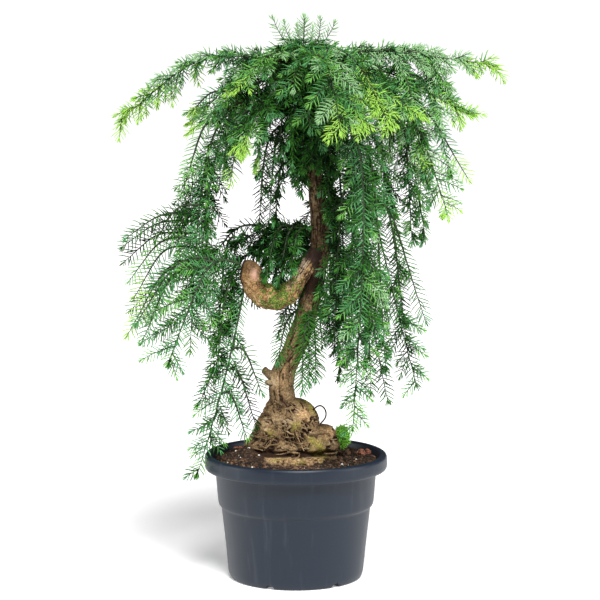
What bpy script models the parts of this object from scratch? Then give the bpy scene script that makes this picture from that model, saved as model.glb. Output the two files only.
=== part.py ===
"""A hoop pine bonsai trained to weep, in a round nursery pot. Metres, +Z up.

The origin is the middle of the pot's flat underside and -Y is the front. The trunk is one tapering tube on a
bent axis. A limb leaves it at a height and a heading, rises to a crest and falls: its bare root is a bough,
and the rest is the stem of one mass of foliage, with toothed blades set along it, each a spray of needles.
"""

import math
import random
from collections import namedtuple

import bpy
import numpy as np

UP = np.array([0.0, 0.0, 1.0])
FRONT = np.array([0.0, -1.0, 0.0])
GAP = 0.0003  # between two pieces that touch

# Pot: a soft plastic nursery pot with a wide rolled rim, standing on its flat underside
POT_HEIGHT = 0.164
POT_FOOT_RADIUS = 0.0865
POT_BODY_RADIUS = 0.098  # at the top of the tapering body
POT_BAND_RADIUS = 0.1055  # at the top of the wider band under the rim
POT_RIM_RADIUS = 0.120
POT_STEP_HEIGHT = 0.097  # where the band starts
POT_RIM_DEPTH = 0.021
POT_RIM_INNER_RADIUS = 0.1095
POT_WALL = 0.0024
POT_FLOOR = 0.003
POT_SIDES = 33
DRAIN_COUNT = 6
DRAIN_RADIUS = 0.006
DRAIN_FIRST = math.radians(247)  # heading of the first drain notch
SOIL_TOP = 0.157

# Trunk: height, and how far its axis stands off the pot's middle in X and Y
TRUNK_BENDS = np.array(
    [
        (0.140, -0.002, 0.000),
        (0.185, -0.010, 0.002),
        (0.234, -0.0172, 0.002),
        (0.262, -0.0185, 0.003),
        (0.307, 0.0004, 0.006),
        (0.345, 0.0134, 0.010),
        (0.392, 0.0250, 0.012),
        (0.435, 0.0310, 0.008),
        (0.500, 0.0275, 0.002),
        (0.600, 0.0135, 0.000),
        (0.696, 0.0075, 0.000),
    ]
)
TRUNK_TOP = 0.696
TRUNK_FOOT_RADIUS = 0.0172
TRUNK_TIP_RADIUS = 0.0028
TRUNK_TAPER_FROM = 0.235  # below this height the girth stays, but for the root flare
TRUNK_TAPER_POWER = 0.75
TRUNK_SIDES = 16
FLARE_RADIUS = 0.010  # added all round where the trunk meets the soil
FLARE_HEIGHT = 0.085

# Roots that widen the flare: heading in degrees, how far out, how wide in degrees, and how high it starts
Root = namedtuple("Root", "heading reach spread height")
ROOTS = [
    Root(188, 0.042, 30, 0.078),
    Root(236, 0.015, 24, 0.050),
    Root(284, 0.011, 26, 0.045),
    Root(20, 0.018, 26, 0.050),
    Root(64, 0.024, 28, 0.060),
    Root(108, 0.028, 26, 0.055),
    Root(150, 0.018, 22, 0.045),
]
ROOT_SLOPE = 0.9  # 1 for a straight buttress, less for one that bulges

# Swellings on the foot, a broad shoulder and the knob of a cut root: middle, and half sizes in X, Y and Z
Knob = namedtuple("Knob", "middle half_sizes")
KNOBS = [
    Knob((0.0030, -0.007, 0.201), (0.0270, 0.023, 0.037)),
    Knob((0.0400, -0.010, 0.176), (0.0150, 0.017, 0.028)),
    Knob((0.0220, -0.014, 0.172), (0.0200, 0.019, 0.026)),
]
# The rounded root that lies across the front of the foot
LIP_ROOT_HEADINGS = (196, 346)
LIP_ROOT_RADII = (0.037, 0.040)  # how far out its two ends lie
LIP_ROOT_BOW = 0.010  # how much further out its middle lies than its ends
LIP_ROOT_THICKNESS = 0.0085
# The forked stub of a cut branch on the trunk's left
STUB_ROOT_HEIGHT = 0.250
STUB_REACH = 0.024
STUB_RISE = 0.025
STUB_RADIUS = 0.0062

# The thick curled bough that hangs in front of the trunk like a hook
CURL_ROOT_HEIGHT = 0.430
CURL_MIDDLE = np.array([-0.0270, -0.024, 0.4025])
CURL_BEND_RADIUS = 0.0300
CURL_ARC = (322, 160)  # degrees, from where the arm joins the arc to the middle of the knob
CURL_SPLIT = 268  # the hook is two pieces that meet here, at its lowest
CURL_ARM_RADIUS = 0.0096
CURL_BELLY_RADIUS = 0.0168
CURL_KNOB_RADIUS = 0.0142
CURL_SIDES = 10
CURL_ARC_POINTS = 14

# Foliage
BLADE_SPACING = 0.0150  # along a stem, between a blade and the next on the other side
BLADE_HALF_WIDTH = 0.0115
BLADE_HALF_THICKNESS = 0.0011
TOOTH_SPACING = 0.0200
BLADE_SAG = 0.20  # how far a blade's tip droops, as a share of its length
STEM_RADIUS = 0.0021
STEM_TIP_RADIUS = 0.0012
BOUGH_SIDES = 6
CLEARANCE = 0.0072  # from a blade's points to those of another mass or a limb
SHORTER = (1.0, 0.8, 0.62, 0.45)  # a blade that doesn't fit is tried again at these shares of its length

Limb = namedtuple(
    "Limb",
    "name root heading reach crest drop flick swerve bare outer inner roll fullest first bough",
)


def limb(name, root, heading, reach, crest, drop, flick=0.5, swerve=0.0, bare=0.18, outer=0.040,
         inner=None, roll=15, fullest=0.5, first=0.55, bough=0.0030):
    """One limb and its foliage. root is a height on the trunk, or a point. heading turns from +X to +Y in
    degrees. reach, crest and drop are how far out its tip is, how high it rises first and how far under its
    root it ends. flick, from 0 to 1, is how much of its reach it keeps for its end, and swerve is how far it
    turns to its left on the way. bare is the share with no foliage. outer and inner are the lengths of its
    longest blades on its two sides, and roll turns those sides, in degrees, from level to upright. fullest is
    where along the foliage the longest blades are, and first is the length of the first blade against them.
    bough is the bare wood's radius, or 0 where the foliage's stem starts on the trunk itself."""
    return Limb(name, root, heading, reach, crest, drop, flick, swerve, bare, outer,
                outer if inner is None else inner, roll, fullest, first, bough)


CURL_TURN = math.radians(CURL_ARC[1])
CURL_END = CURL_MIDDLE + CURL_BEND_RADIUS * np.array([math.cos(CURL_TURN), 0, math.sin(CURL_TURN)])
KNOB_LOW = tuple(CURL_END + (-0.004, 0.003, -0.010))
KNOB_HIGH = tuple(CURL_END + (-0.003, -0.004, -0.004))
LIMBS = [
    limb("left_arch", 0.670, 184, 0.237, 0.0134, 0.082, flick=0.41, bare=0.12, outer=0.036, roll=32,
         fullest=0.4, bough=0.0026),
    limb("right_arch", 0.668, 356, 0.257, 0.020, 0.007, flick=0.70, bare=0.12, outer=0.038, roll=32,
         fullest=0.55, bough=0.0026),
    limb("left_second", 0.648, 197, 0.155, 0.004, 0.064, outer=0.036, roll=25),
    limb("left_third", 0.632, 226, 0.120, 0.004, 0.069, flick=0.4, outer=0.040),
    limb("front_left_high", 0.676, 222, 0.115, 0.010, 0.038, outer=0.034, roll=0, bough=0.0024),
    limb("front_fan", 0.670, 283, 0.160, 0.012, 0.089, flick=0.3, bare=0.16, outer=0.042, roll=0,
         fullest=0.55, bough=0.0024),
    limb("front_fan_mid", 0.6475, 301, 0.150, 0.010, 0.061, flick=0.4, outer=0.036, roll=0, fullest=0.55),
    limb("front_fan_right", 0.677, 318, 0.150, 0.012, 0.084, flick=0.4, outer=0.040, roll=0, fullest=0.55,
         bough=0.0022),
    limb("front_right_high", 0.639, 333, 0.165, 0.015, 0.032, outer=0.038, roll=10),
    limb("right_second", 0.654, 354, 0.215, 0.012, 0.048, bare=0.20, outer=0.048, roll=25, fullest=0.6),
    limb("right_curtain", 0.629, 347, 0.190, 0.010, 0.153, flick=0.25, bare=0.20, outer=0.055, inner=0.045,
         roll=70, bough=0.0034),
    limb("right_mid", 0.618, 12, 0.162, 0.006, 0.175, flick=0.15, bare=0.20, outer=0.048, inner=0.040,
         roll=60, bough=0.0034),
    limb("right_low", 0.590, 342, 0.149, 0.004, 0.331, flick=0.48, bare=0.16, outer=0.060, inner=0.045,
         roll=75, fullest=0.6, bough=0.0042),
    limb("right_column", 0.606, 322, 0.120, 0.007, 0.392, flick=0.04, swerve=-0.058, bare=0.16,
         outer=0.045, inner=0.040, roll=60, fullest=0.4, bough=0.0040),
    limb("right_inner", 0.540, 50, 0.055, 0.004, 0.285, flick=0.1, bare=0.12, outer=0.038, inner=0.030,
         roll=50, fullest=0.4, bough=0),
    limb("inner_left", 0.585, 196, 0.065, 0.008, 0.125, flick=0.1, outer=0.020, inner=0.022, roll=60,
         fullest=0.3, bough=0),
    limb("inner_left_b", 0.560, 222, 0.060, 0.004, 0.090, flick=0.1, bare=0.22, outer=0.020, inner=0.022,
         roll=60, fullest=0.3, bough=0),
    limb("left_curtain", 0.621, 187, 0.150, 0.010, 0.323, flick=0.1, bare=0.20, outer=0.098, inner=0.042,
         roll=75, fullest=0.72, first=0.28, bough=0.0040),
    limb("curl_top", 0.462, 190, 0.115, 0.012, 0.016, outer=0.030, roll=30, fullest=0.4),
    limb("left_tail", KNOB_LOW, 190, 0.082, 0.004, 0.272, flick=0.68, bare=0.10, outer=0.048, roll=80,
         bough=0),
    limb("left_fan_low", KNOB_HIGH, 205, 0.122, 0.014, 0.130, flick=0.45, bare=0.17, outer=0.102, inner=0.050,
         roll=60, fullest=0.45, first=0.75, bough=0),
    limb("under_curl", 0.352, 183, 0.042, 0.000, 0.068, flick=0.6, bare=0.50, outer=0.016, roll=0, bough=0),
    limb("foot_spray", 0.358, 318, 0.026, 0.000, 0.108, flick=0.0, swerve=-0.030, bare=0.55, outer=0.018,
         roll=30, fullest=0.3, bough=0),
    limb("back_high", 0.681, 97, 0.190, 0.006, 0.030, outer=0.048, roll=10, bough=0.0024),
    limb("back_left_high", 0.660, 142, 0.190, 0.012, 0.070, outer=0.048, roll=10, bough=0.0026),
    limb("back_right_high", 0.673, 45, 0.200, 0.012, 0.070, outer=0.048, roll=10, bough=0.0026),
    limb("back_left_curtain", 0.608, 155, 0.160, 0.008, 0.256, flick=0.15, bare=0.20, outer=0.055,
         inner=0.035, roll=60, bough=0.0036),
    limb("back_curtain", 0.588, 75, 0.125, 0.008, 0.240, flick=0.15, bare=0.20, outer=0.045, roll=50,
         bough=0.0036),
    limb("back_right_curtain", 0.600, 35, 0.158, 0.008, 0.276, flick=0.15, bare=0.20, outer=0.055,
         inner=0.045, roll=60, bough=0.0036),
]

# The leader's tuft on the trunk's tip: sprays that stand up round one short stem
TUFT_TOP = 0.7355
TUFT_SPRAYS = 5
TUFT_FIRST_HEADING = 2
TUFT_SPREAD = 0.042
TUFT_HALF_WIDTH = 0.009


def unit(vector):
    return vector / np.linalg.norm(vector)


# ---------------------------------------------------------------- shapes


def mesh_object(name, points, faces, material=None):
    mesh = bpy.data.meshes.new(name)
    mesh.from_pydata([tuple(map(float, p)) for p in points], [], faces)
    mesh.update()
    if material:
        mesh.materials.append(material)
    made = bpy.data.objects.new(name, mesh)
    bpy.context.scene.collection.objects.link(made)
    return made


def tube(rings):
    """The closed shape on rings of as many points each, turning to the left about the way that they go."""
    count, sides = rings.shape[:2]
    faces = []
    for ring in range(count - 1):
        for side in range(sides):
            a, b = ring * sides + side, ring * sides + (side + 1) % sides
            faces.append((a, b, b + sides, a + sides))
    faces.append(tuple(range(sides))[::-1])
    faces.append(tuple(range((count - 1) * sides, count * sides)))
    return rings.reshape(-1, 3), faces


def round_rings(path, radii, sides, across, ways=None):
    """Rings of the given radii square to a path, or to the given ways, each with its first point on the side
    of across."""
    ways = np.gradient(path, axis=0) if ways is None else ways
    ways = ways / np.linalg.norm(ways, axis=1)[:, None]
    first = across - ways * (ways @ across)[:, None]
    first /= np.linalg.norm(first, axis=1)[:, None]
    second = np.cross(ways, first)
    turn = np.linspace(0, 2 * math.pi, sides, endpoint=False)
    reach = first[:, None] * np.cos(turn)[None, :, None] + second[:, None] * np.sin(turn)[None, :, None]
    return path[:, None] + reach * np.asarray(radii)[:, None, None]


def turned(profile, sides):
    """The closed shape of a profile of (radius, height), which runs from the underside's edge up the outside
    and back down the inside, turned about Z. Its two ends are closed flat."""
    turn = np.linspace(0, 2 * math.pi, sides, endpoint=False) + math.pi / sides
    radius, height = np.array(profile).T
    rings = np.stack([radius[:, None] * np.cos(turn), radius[:, None] * np.sin(turn),
                      np.repeat(height[:, None], sides, axis=1)], axis=2)
    return tube(rings)


def ball(middle, half_sizes, sides=10, rings=5):
    """A closed ellipsoid."""
    tilt = np.linspace(-math.pi / 2, math.pi / 2, rings + 2)[1:-1]
    turn = np.linspace(0, 2 * math.pi, sides, endpoint=False)
    grid = np.stack([np.cos(tilt)[:, None] * np.cos(turn), np.cos(tilt)[:, None] * np.sin(turn),
                     np.repeat(np.sin(tilt)[:, None], sides, axis=1)], axis=2)
    return tube(grid * half_sizes + middle)


def apply_modifiers(target):
    """Puts the shape that the modifiers give into the object's own mesh."""
    bpy.context.view_layer.update()
    finished = bpy.data.meshes.new_from_object(target.evaluated_get(bpy.context.evaluated_depsgraph_get()))
    target.modifiers.clear()
    target.data = finished


def joined(name, pieces, material, cutters=()):
    """One object: the union of closed pieces, less the cutters."""
    target = mesh_object(name, *pieces[0], material)
    helpers = bpy.data.collections.new(name + "_pieces")
    bpy.context.scene.collection.children.link(helpers)
    for number, piece in enumerate(pieces[1:]):
        helper = mesh_object(f"{name}_piece_{number}", *piece)
        bpy.context.scene.collection.objects.unlink(helper)
        helpers.objects.link(helper)
    if len(pieces) > 1:
        union = target.modifiers.new("union", "BOOLEAN")
        union.operation = "UNION"
        union.operand_type = "COLLECTION"
        union.collection = helpers
    for cutter in cutters:
        cut = target.modifiers.new("cut", "BOOLEAN")
        cut.operation = "DIFFERENCE"
        cut.object = cutter
    apply_modifiers(target)
    for helper in list(helpers.objects):
        bpy.data.objects.remove(helper)
    bpy.data.collections.remove(helpers)
    return target


def cutter_of(name, shape):
    made = mesh_object(name, *shape)
    made.hide_render = True
    made.display_type = "WIRE"
    return made


def finish(name, colour, roughness, metallic=0.0):
    """A Principled BSDF material."""
    material = bpy.data.materials.new(name)
    material.use_nodes = True
    shader = material.node_tree.nodes["Principled BSDF"]
    shader.inputs["Base Color"].default_value = (*colour, 1.0)
    shader.inputs["Roughness"].default_value = roughness
    shader.inputs["Metallic"].default_value = metallic
    return material


# ---------------------------------------------------------------- trunk and limbs


def trunk_axis(heights):
    """Points on the trunk's axis: a cubic through the bends, with each bend's slope set by its neighbours."""
    heights = np.atleast_1d(heights).astype(float)
    knots, offsets = TRUNK_BENDS[:, 0], TRUNK_BENDS[:, 1:]
    slopes = np.gradient(offsets, knots, axis=0)
    k = np.clip(np.searchsorted(knots, heights, side="right") - 1, 0, len(knots) - 2)
    span = (knots[k + 1] - knots[k])[:, None]
    u = (heights - knots[k])[:, None] / span
    across = (
        (2 * u**3 - 3 * u**2 + 1) * offsets[k]
        + (u**3 - 2 * u**2 + u) * span * slopes[k]
        + (3 * u**2 - 2 * u**3) * offsets[k + 1]
        + (u**3 - u**2) * span * slopes[k + 1]
    )
    return np.column_stack([across, heights])


def trunk_radius(heights):
    """The girth without the roots: a tapering power of the height left to the tip."""
    left = np.clip((TRUNK_TOP - heights) / (TRUNK_TOP - TRUNK_TAPER_FROM), 0, 1)
    return TRUNK_TIP_RADIUS + (TRUNK_FOOT_RADIUS - TRUNK_TIP_RADIUS) * left**TRUNK_TAPER_POWER


def flare(heights, headings):
    """What the foot adds to the radius: a skirt all round and a ridge for each root, both fading upwards."""
    low = np.clip(1 - (heights - SOIL_TOP) / FLARE_HEIGHT, 0, 1.15)
    added = FLARE_RADIUS * low**2
    for root in ROOTS:
        low = np.clip(1 - (heights - SOIL_TOP) / root.height, 0, 1.15)
        off = (headings - root.heading + 180) % 360 - 180
        added = added + root.reach * np.exp(-((off / root.spread) ** 2)) * low**ROOT_SLOPE
    return added


def trunk_rings(extra=0.0):
    """Level rings from just under the soil's top to the tip, each point out by the girth and the flare."""
    foot = np.linspace(SOIL_TOP - 0.008, TRUNK_TAPER_FROM, 9)
    rest = np.linspace(TRUNK_TAPER_FROM, TRUNK_TOP, 17)[1:]
    heights = np.concatenate([foot, rest])
    headings = np.linspace(0, 360, TRUNK_SIDES, endpoint=False)
    radius = trunk_radius(heights)[:, None] + flare(heights[:, None], headings[None]) + extra
    turn = np.radians(headings)
    reach = np.stack([np.cos(turn), np.sin(turn), 0 * turn], axis=1)
    return trunk_axis(heights)[:, None] + reach[None] * radius[:, :, None]


def lip_root():
    """The root across the front of the foot: a round bar on an arc about the trunk's foot."""
    turn = np.radians(np.linspace(*LIP_ROOT_HEADINGS, 8))
    out = np.linspace(*LIP_ROOT_RADII, 8) + LIP_ROOT_BOW * np.sin(np.linspace(0, math.pi, 8))
    middle = trunk_axis(SOIL_TOP)[0]
    path = middle + np.stack([out * np.cos(turn), out * np.sin(turn), 0 * turn], axis=1)
    swell = np.sin(np.linspace(0.25, math.pi - 0.25, 8))
    return tube(round_rings(path, LIP_ROOT_THICKNESS * swell**0.5, 8, UP))


def stub():
    """The cut stub: a short tapering bar that rises to the left, and its fork."""
    root = trunk_axis(STUB_ROOT_HEIGHT)[0]
    tip = root + (-STUB_REACH, -0.004, STUB_RISE)
    fork = root + (-STUB_REACH * 0.62, -0.012, STUB_RISE * 0.45)
    bar = np.linspace(root, tip, 4)
    tine = np.linspace(root, fork + (-0.006, -0.002, -0.002), 3)
    return [tube(round_rings(bar, STUB_RADIUS * np.array([1.3, 1.0, 0.8, 0.7]), 6, FRONT)),
            tube(round_rings(tine, STUB_RADIUS * np.array([1.0, 0.8, 0.55]), 6, FRONT))]


def curl_path():
    """The curled bough's axis: from the trunk down to its arc, and round the arc to the knob."""
    turn = np.radians(np.linspace(*CURL_ARC, CURL_ARC_POINTS))
    arc = CURL_MIDDLE + CURL_BEND_RADIUS * np.stack([np.cos(turn), 0 * turn, np.sin(turn)], axis=1)
    root = trunk_axis(CURL_ROOT_HEIGHT)[0] + (-0.002, -0.004, 0)
    arm = root + (arc[0] - root) * np.linspace(0, 1, 5)[:-1, None]
    arm[:, 1] += 0.004 * np.sin(np.linspace(0, math.pi, 5))[:-1]
    return np.concatenate([arm, arc])


def curl_radii(share):
    """Its girth along it, from 0 at the trunk to 1 at the knob: an arm, a fat belly and a rounded knob."""
    marks = (0, 0.30, 0.58, 0.80, 0.93, 0.98, 1.0)
    arm, belly, knob = CURL_ARM_RADIUS, CURL_BELLY_RADIUS, CURL_KNOB_RADIUS
    girth = (arm * 0.9, arm, belly, knob * 1.05, knob, knob * 0.8, knob * 0.35)
    return np.interp(share, marks, girth)


def path_shares(path):
    """How far along a path each of its points lies, from 0 to 1."""
    along = np.concatenate([[0], np.cumsum(np.linalg.norm(np.diff(path, axis=0), axis=1))])
    return along / along[-1]


def limb_way(item):
    """Its level directions out and to its left."""
    turn = math.radians(item.heading)
    return np.array([math.cos(turn), math.sin(turn), 0]), np.array([-math.sin(turn), math.cos(turn), 0])


def limb_points(item, t):
    """Points on its axis, for t from 0 at the root to 1 at the tip: out it slows down, or keeps part of its
    reach for the end, and up it follows a thrown ball that rises to the crest and falls to the drop."""
    t = np.atleast_1d(t).astype(float)
    out, left = limb_way(item)
    away = item.reach * ((1 - item.flick) * (1 - (1 - t) ** 3) + item.flick * t**3)
    climb = 2 * item.crest + 2 * math.sqrt(item.crest * (item.crest + item.drop))
    rise = climb * t - (climb + item.drop) * t**2
    root = trunk_axis(item.root)[0] if np.isscalar(item.root) else np.array(item.root)
    return root + away[:, None] * out + (item.swerve * t**2)[:, None] * left + rise[:, None] * UP


def evenly(item, start, spacing):
    """Values of t from start to 1 whose points lie evenly along it, about spacing apart."""
    t = np.linspace(start, 1, 200)
    steps = np.linalg.norm(np.diff(limb_points(item, t), axis=0), axis=1)
    along = np.concatenate([[0], np.cumsum(steps)])
    count = max(2, round(along[-1] / spacing))
    return np.interp(np.linspace(0, along[-1], count + 1), along, t)


def limb_tube(item, t, radii, sides):
    """A tube along its axis, whose rings are square to the axis itself so two tubes meet face to face."""
    ways = limb_points(item, t + 0.001) - limb_points(item, t - 0.001)
    return tube(round_rings(limb_points(item, t), radii, sides, limb_way(item)[1], ways))


# ---------------------------------------------------------------- foliage


def blade(root, way, flat, length, half_width, sag):
    """A toothed blade, thickest along its middle: pairs of teeth that lean forwards, notched between. Its
    middle runs from root along way and droops by the square of the distance. flat is square to its face. It
    returns the closed shape and points spread over it."""
    teeth = max(1, round(length / TOOTH_SPACING))
    side = unit(np.cross(flat, way))

    def at(share, across=0.0, lift=0.0):
        return root + way * length * share - UP * sag * length * share**2 + side * across + flat * lift

    tips = (np.arange(teeth) + 0.75) / (teeth + 0.55)
    notches = (np.arange(1, teeth) + 0.25) / (teeth + 0.55)
    widths = half_width * np.interp(tips, (0, 0.35, 1), (0.72, 1, 0.5))
    edge = []
    for number, (share, width) in enumerate(zip(tips, widths)):
        edge.append((share, width))
        if number < teeth - 1:
            edge.append((notches[number], width * 0.38))
    ridge = np.linspace(0, 1, max(1, teeth // 2 + teeth % 2) + 2)[1:-1] * 0.94
    points = [at(0.0)] + [at(share, width) for share, width in edge] + [at(1.0)]
    points += [at(share, -width) for share, width in reversed(edge)]
    rim = len(points)
    points += [at(share, 0, BLADE_HALF_THICKNESS) for share in ridge]
    points += [at(share, 0, -BLADE_HALF_THICKNESS) for share in ridge]
    shares = [0.0] + [s for s, _ in edge] + [1.0] + [s for s, _ in reversed(edge)]
    nearest = [int(np.argmin(np.abs(ridge - share))) for share in shares]
    faces = []
    for level, turned_over in ((rim, False), (rim + len(ridge), True)):
        for a in range(rim):
            b = (a + 1) % rim
            row = [(a, b, level + nearest[a])]
            if nearest[a] != nearest[b]:
                row.append((b, level + nearest[b], level + nearest[a]))
            faces += [face if turned_over else face[::-1] for face in row]
    grid = [at(s, half_width * w) for s in np.linspace(0.15, 1, max(3, round(length / 0.006)))
            for w in (-0.9, -0.45, 0, 0.45, 0.9)]
    return (points, faces), np.array(grid)


def wood_points(skip=None):
    """Points along every limb's axis but one's, the curled bough's and the knobs', each with its radius."""
    rows = []
    for item in LIMBS:
        if item is not skip:
            points = limb_points(item, evenly(item, 0, 0.005))
            rows.append(np.column_stack([points, np.full(len(points), 0.002)]))
    path = curl_path()
    rows.append(np.column_stack([path, curl_radii(path_shares(path))]))
    return np.concatenate(rows)


def clear_of_trunk_and_pot(points):
    """Whether points stay off the trunk, the roots and the pot's rim."""
    height = np.clip(points[:, 2], SOIL_TOP, TRUNK_TOP)
    axis = trunk_axis(height)
    away = points[:, :2] - axis[:, :2]
    headings = np.degrees(np.arctan2(away[:, 1], away[:, 0]))
    off_trunk = np.hypot(*away.T) - trunk_radius(height) - flare(height, headings)
    near_pot = (points[:, 2] < POT_HEIGHT + CLEARANCE) & (
        np.hypot(points[:, 0], points[:, 1]) < POT_RIM_RADIUS + CLEARANCE)
    above = points[:, 2] > TRUNK_TOP
    return bool(((off_trunk > 0.003) | above).all() and not near_pot.any())


def nearest_gap(points, others):
    """The least distance from points to rows of (x, y, z, radius), measured from the radius."""
    low, high = points.min(axis=0) - 0.03, points.max(axis=0) + 0.03
    near = others[((others[:, :3] > low) & (others[:, :3] < high)).all(axis=1)]
    if not len(near):
        return math.inf
    apart = np.linalg.norm(points[:, None] - near[None, :, :3], axis=2) - near[None, :, 3]
    return float(apart.min())


def sprays(item, filled):
    """The blades of one mass. They leave the stem by turns on its two sides, leaning forwards, longest where
    the limb is fullest. One that would come too near another mass or a limb is shortened, or left out."""
    rng = random.Random(item.name)
    out, left = limb_way(item)
    wood = wood_points(skip=item)
    stations = evenly(item, item.bare, BLADE_SPACING)
    joints = stem_stations(item)
    corners = limb_points(item, joints)
    made, points = [], []
    for number, t in enumerate(stations[:-1] + np.diff(stations) * 0.55):
        along = (number + 0.5) / (len(stations) - 1)
        root = np.array([np.interp(t, joints, column) for column in corners.T])
        way = unit(limb_points(item, t + 0.004)[0] - limb_points(item, t)[0])
        level = unit(left - way * (left @ way))
        upright = np.cross(way, level)
        upright = upright if upright @ (out + 0.6 * UP) > 0 else -upright
        roll = math.radians(item.roll + rng.uniform(-12, 12))
        side = 1 if number % 2 == 0 else -1
        off = side * (level * math.cos(roll) + upright * math.sin(roll))
        longest = item.outer if side > 0 else item.inner
        share = np.interp(along, (0, item.fullest, 1), (item.first, 1, 0.34)) * rng.uniform(0.88, 1.12)
        lean = math.radians(rng.uniform(48, 60))
        heading = unit(way * math.cos(lean) + off * math.sin(lean))
        flat = unit(np.cross(way, heading))
        for shorter in SHORTER:
            shape, grid = blade(root, heading, flat, longest * share * shorter, BLADE_HALF_WIDTH, BLADE_SAG)
            if (clear_of_trunk_and_pot(grid) and nearest_gap(grid, wood) > CLEARANCE
                    and nearest_gap(grid, filled) > CLEARANCE):
                made.append(shape)
                points.append(grid)
                break
    return made, points


def stem_stations(item):
    """Values of t at its stem's rings. The stem starts a gap past the bough's tip, or inside the trunk."""
    if not item.bough:
        return evenly(item, 0.0, 2 * BLADE_SPACING)
    length = np.linalg.norm(np.diff(limb_points(item, np.linspace(0, 1, 60)), axis=0), axis=1).sum()
    fine = evenly(item, item.bare, length / 2000)
    return evenly(item, float(np.interp(GAP, np.linspace(0, 1, len(fine)) * length, fine)), 2 * BLADE_SPACING)


def stem_and_tip(item):
    """The stem of a mass and the blade that ends it."""
    t = stem_stations(item)
    radii = np.linspace(STEM_RADIUS, STEM_TIP_RADIUS, len(t))
    stem = limb_tube(item, t, radii, 3)
    end = limb_points(item, (0.93, 1.0))
    way = unit(end[1] - end[0])
    tip_length = max(0.022, float(np.linalg.norm(end[1] - end[0])))
    flat = unit(np.cross(limb_way(item)[1], way))
    if item.roll > 45:
        flat = limb_way(item)[1]
        flat = unit(flat - way * (flat @ way))
    root = end[1] - way * tip_length * 0.75
    shape, _ = blade(root, way, flat, tip_length, BLADE_HALF_WIDTH * 0.8, 0.0)
    return [stem, shape]


def tuft():
    """The leader's tuft: an upright stem ending in a blade, and sprays that lean out round it."""
    root = trunk_axis(TRUNK_TOP)[0] + UP * GAP
    top = np.array([root[0], root[1], TUFT_TOP])
    pieces = [tube(round_rings(np.linspace(root, top - UP * 0.008, 3), (0.0026, 0.0016, 0.0012), 3, FRONT))]
    pieces.append(blade(root + UP * 0.003, UP, FRONT, TUFT_TOP - root[2] - 0.003, TUFT_HALF_WIDTH, 0)[0])
    for number in range(TUFT_SPRAYS):
        turn = math.radians(TUFT_FIRST_HEADING + 360 / TUFT_SPRAYS * number)
        out = np.array([math.cos(turn), math.sin(turn), 0])
        tip = np.array([root[0], root[1], TUFT_TOP - 0.002]) + out * TUFT_SPREAD
        base = root + UP * (0.004 + 0.0017 * number)
        way = unit(tip - base)
        flat = unit(np.cross(way, np.cross(out, UP)))
        pieces.append(blade(base, way, flat, float(np.linalg.norm(tip - base)), TUFT_HALF_WIDTH, 0)[0])
    return pieces


# ---------------------------------------------------------------- the pieces


def pot_profile():
    """The pot's outside, rim and inside, from the underside's edge to the inner floor's edge."""
    step, rim = POT_STEP_HEIGHT, POT_HEIGHT - POT_RIM_DEPTH
    outside = [
        (POT_FOOT_RADIUS - 0.003, 0),
        (POT_FOOT_RADIUS, 0.0012),
        (POT_FOOT_RADIUS + 0.0025, 0.008),
        (POT_BODY_RADIUS, step - 0.003),
        (POT_BAND_RADIUS - 0.004, step + 0.001),
        (POT_BAND_RADIUS - 0.003, step + 0.006),
        (POT_BAND_RADIUS, rim - 0.002),
        (POT_RIM_RADIUS - 0.003, rim + 0.0005),
        (POT_RIM_RADIUS, rim + 0.004),
        (POT_RIM_RADIUS - 0.0004, POT_HEIGHT - 0.003),
        (POT_RIM_RADIUS - 0.003, POT_HEIGHT),
    ]
    inside = [
        (POT_RIM_INNER_RADIUS + 0.002, POT_HEIGHT - 0.0005),
        (POT_RIM_INNER_RADIUS, POT_HEIGHT - 0.005),
    ]
    return outside + inside + hollow_profile(0.0)[::-1]


def hollow_profile(inset):
    """The pot's inside below its rim, from the floor's edge up, or the same drawn in by an inset."""
    step = POT_STEP_HEIGHT
    return [
        (POT_FOOT_RADIUS - POT_WALL - inset, POT_FLOOR + inset),
        (POT_BODY_RADIUS - POT_WALL - inset, step - 0.002),
        (POT_BAND_RADIUS - 0.003 - POT_WALL - inset, step + 0.008),
        (POT_BAND_RADIUS - POT_WALL - inset, POT_HEIGHT - POT_RIM_DEPTH),
    ]


def make_pot(material):
    pot = mesh_object("pot", *turned(pot_profile(), POT_SIDES), material)
    cutters = []
    for number in range(DRAIN_COUNT):
        turn = DRAIN_FIRST + 2 * math.pi / DRAIN_COUNT * number
        out = np.array([math.cos(turn), math.sin(turn), 0])
        path = np.linspace(out * (POT_FOOT_RADIUS - 0.014) + UP * 0.001,
                           out * (POT_FOOT_RADIUS + 0.010) + UP * 0.001, 2)
        cutter = cutter_of("drain_cutter", tube(round_rings(path, (DRAIN_RADIUS, DRAIN_RADIUS), 8, UP)))
        cut = pot.modifiers.new("drain", "BOOLEAN")
        cut.operation = "DIFFERENCE"
        cut.object = cutter
        cutters.append(cutter)
    apply_modifiers(pot)
    for cutter in cutters:
        bpy.data.objects.remove(cutter)


def make_soil(material):
    top = (POT_RIM_INNER_RADIUS - 0.0024, SOIL_TOP)
    mesh_object("soil", *turned(hollow_profile(GAP) + [top], POT_SIDES), material)


def make_trunk(material):
    pieces = [tube(trunk_rings()), lip_root(), *stub()] + [ball(k.middle, k.half_sizes) for k in KNOBS]
    half, deep = 0.2, 0.05
    level = SOIL_TOP + GAP
    corners = np.array([(-half, -half), (half, -half), (half, half), (-half, half)])
    slab = tube(np.stack([np.column_stack([corners, np.full(4, z)]) for z in (level - deep, level)]))
    cutter = cutter_of("ground_cutter", slab)
    trunk = joined("trunk", pieces, material, [cutter])
    bpy.data.objects.remove(cutter)
    return trunk


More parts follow.
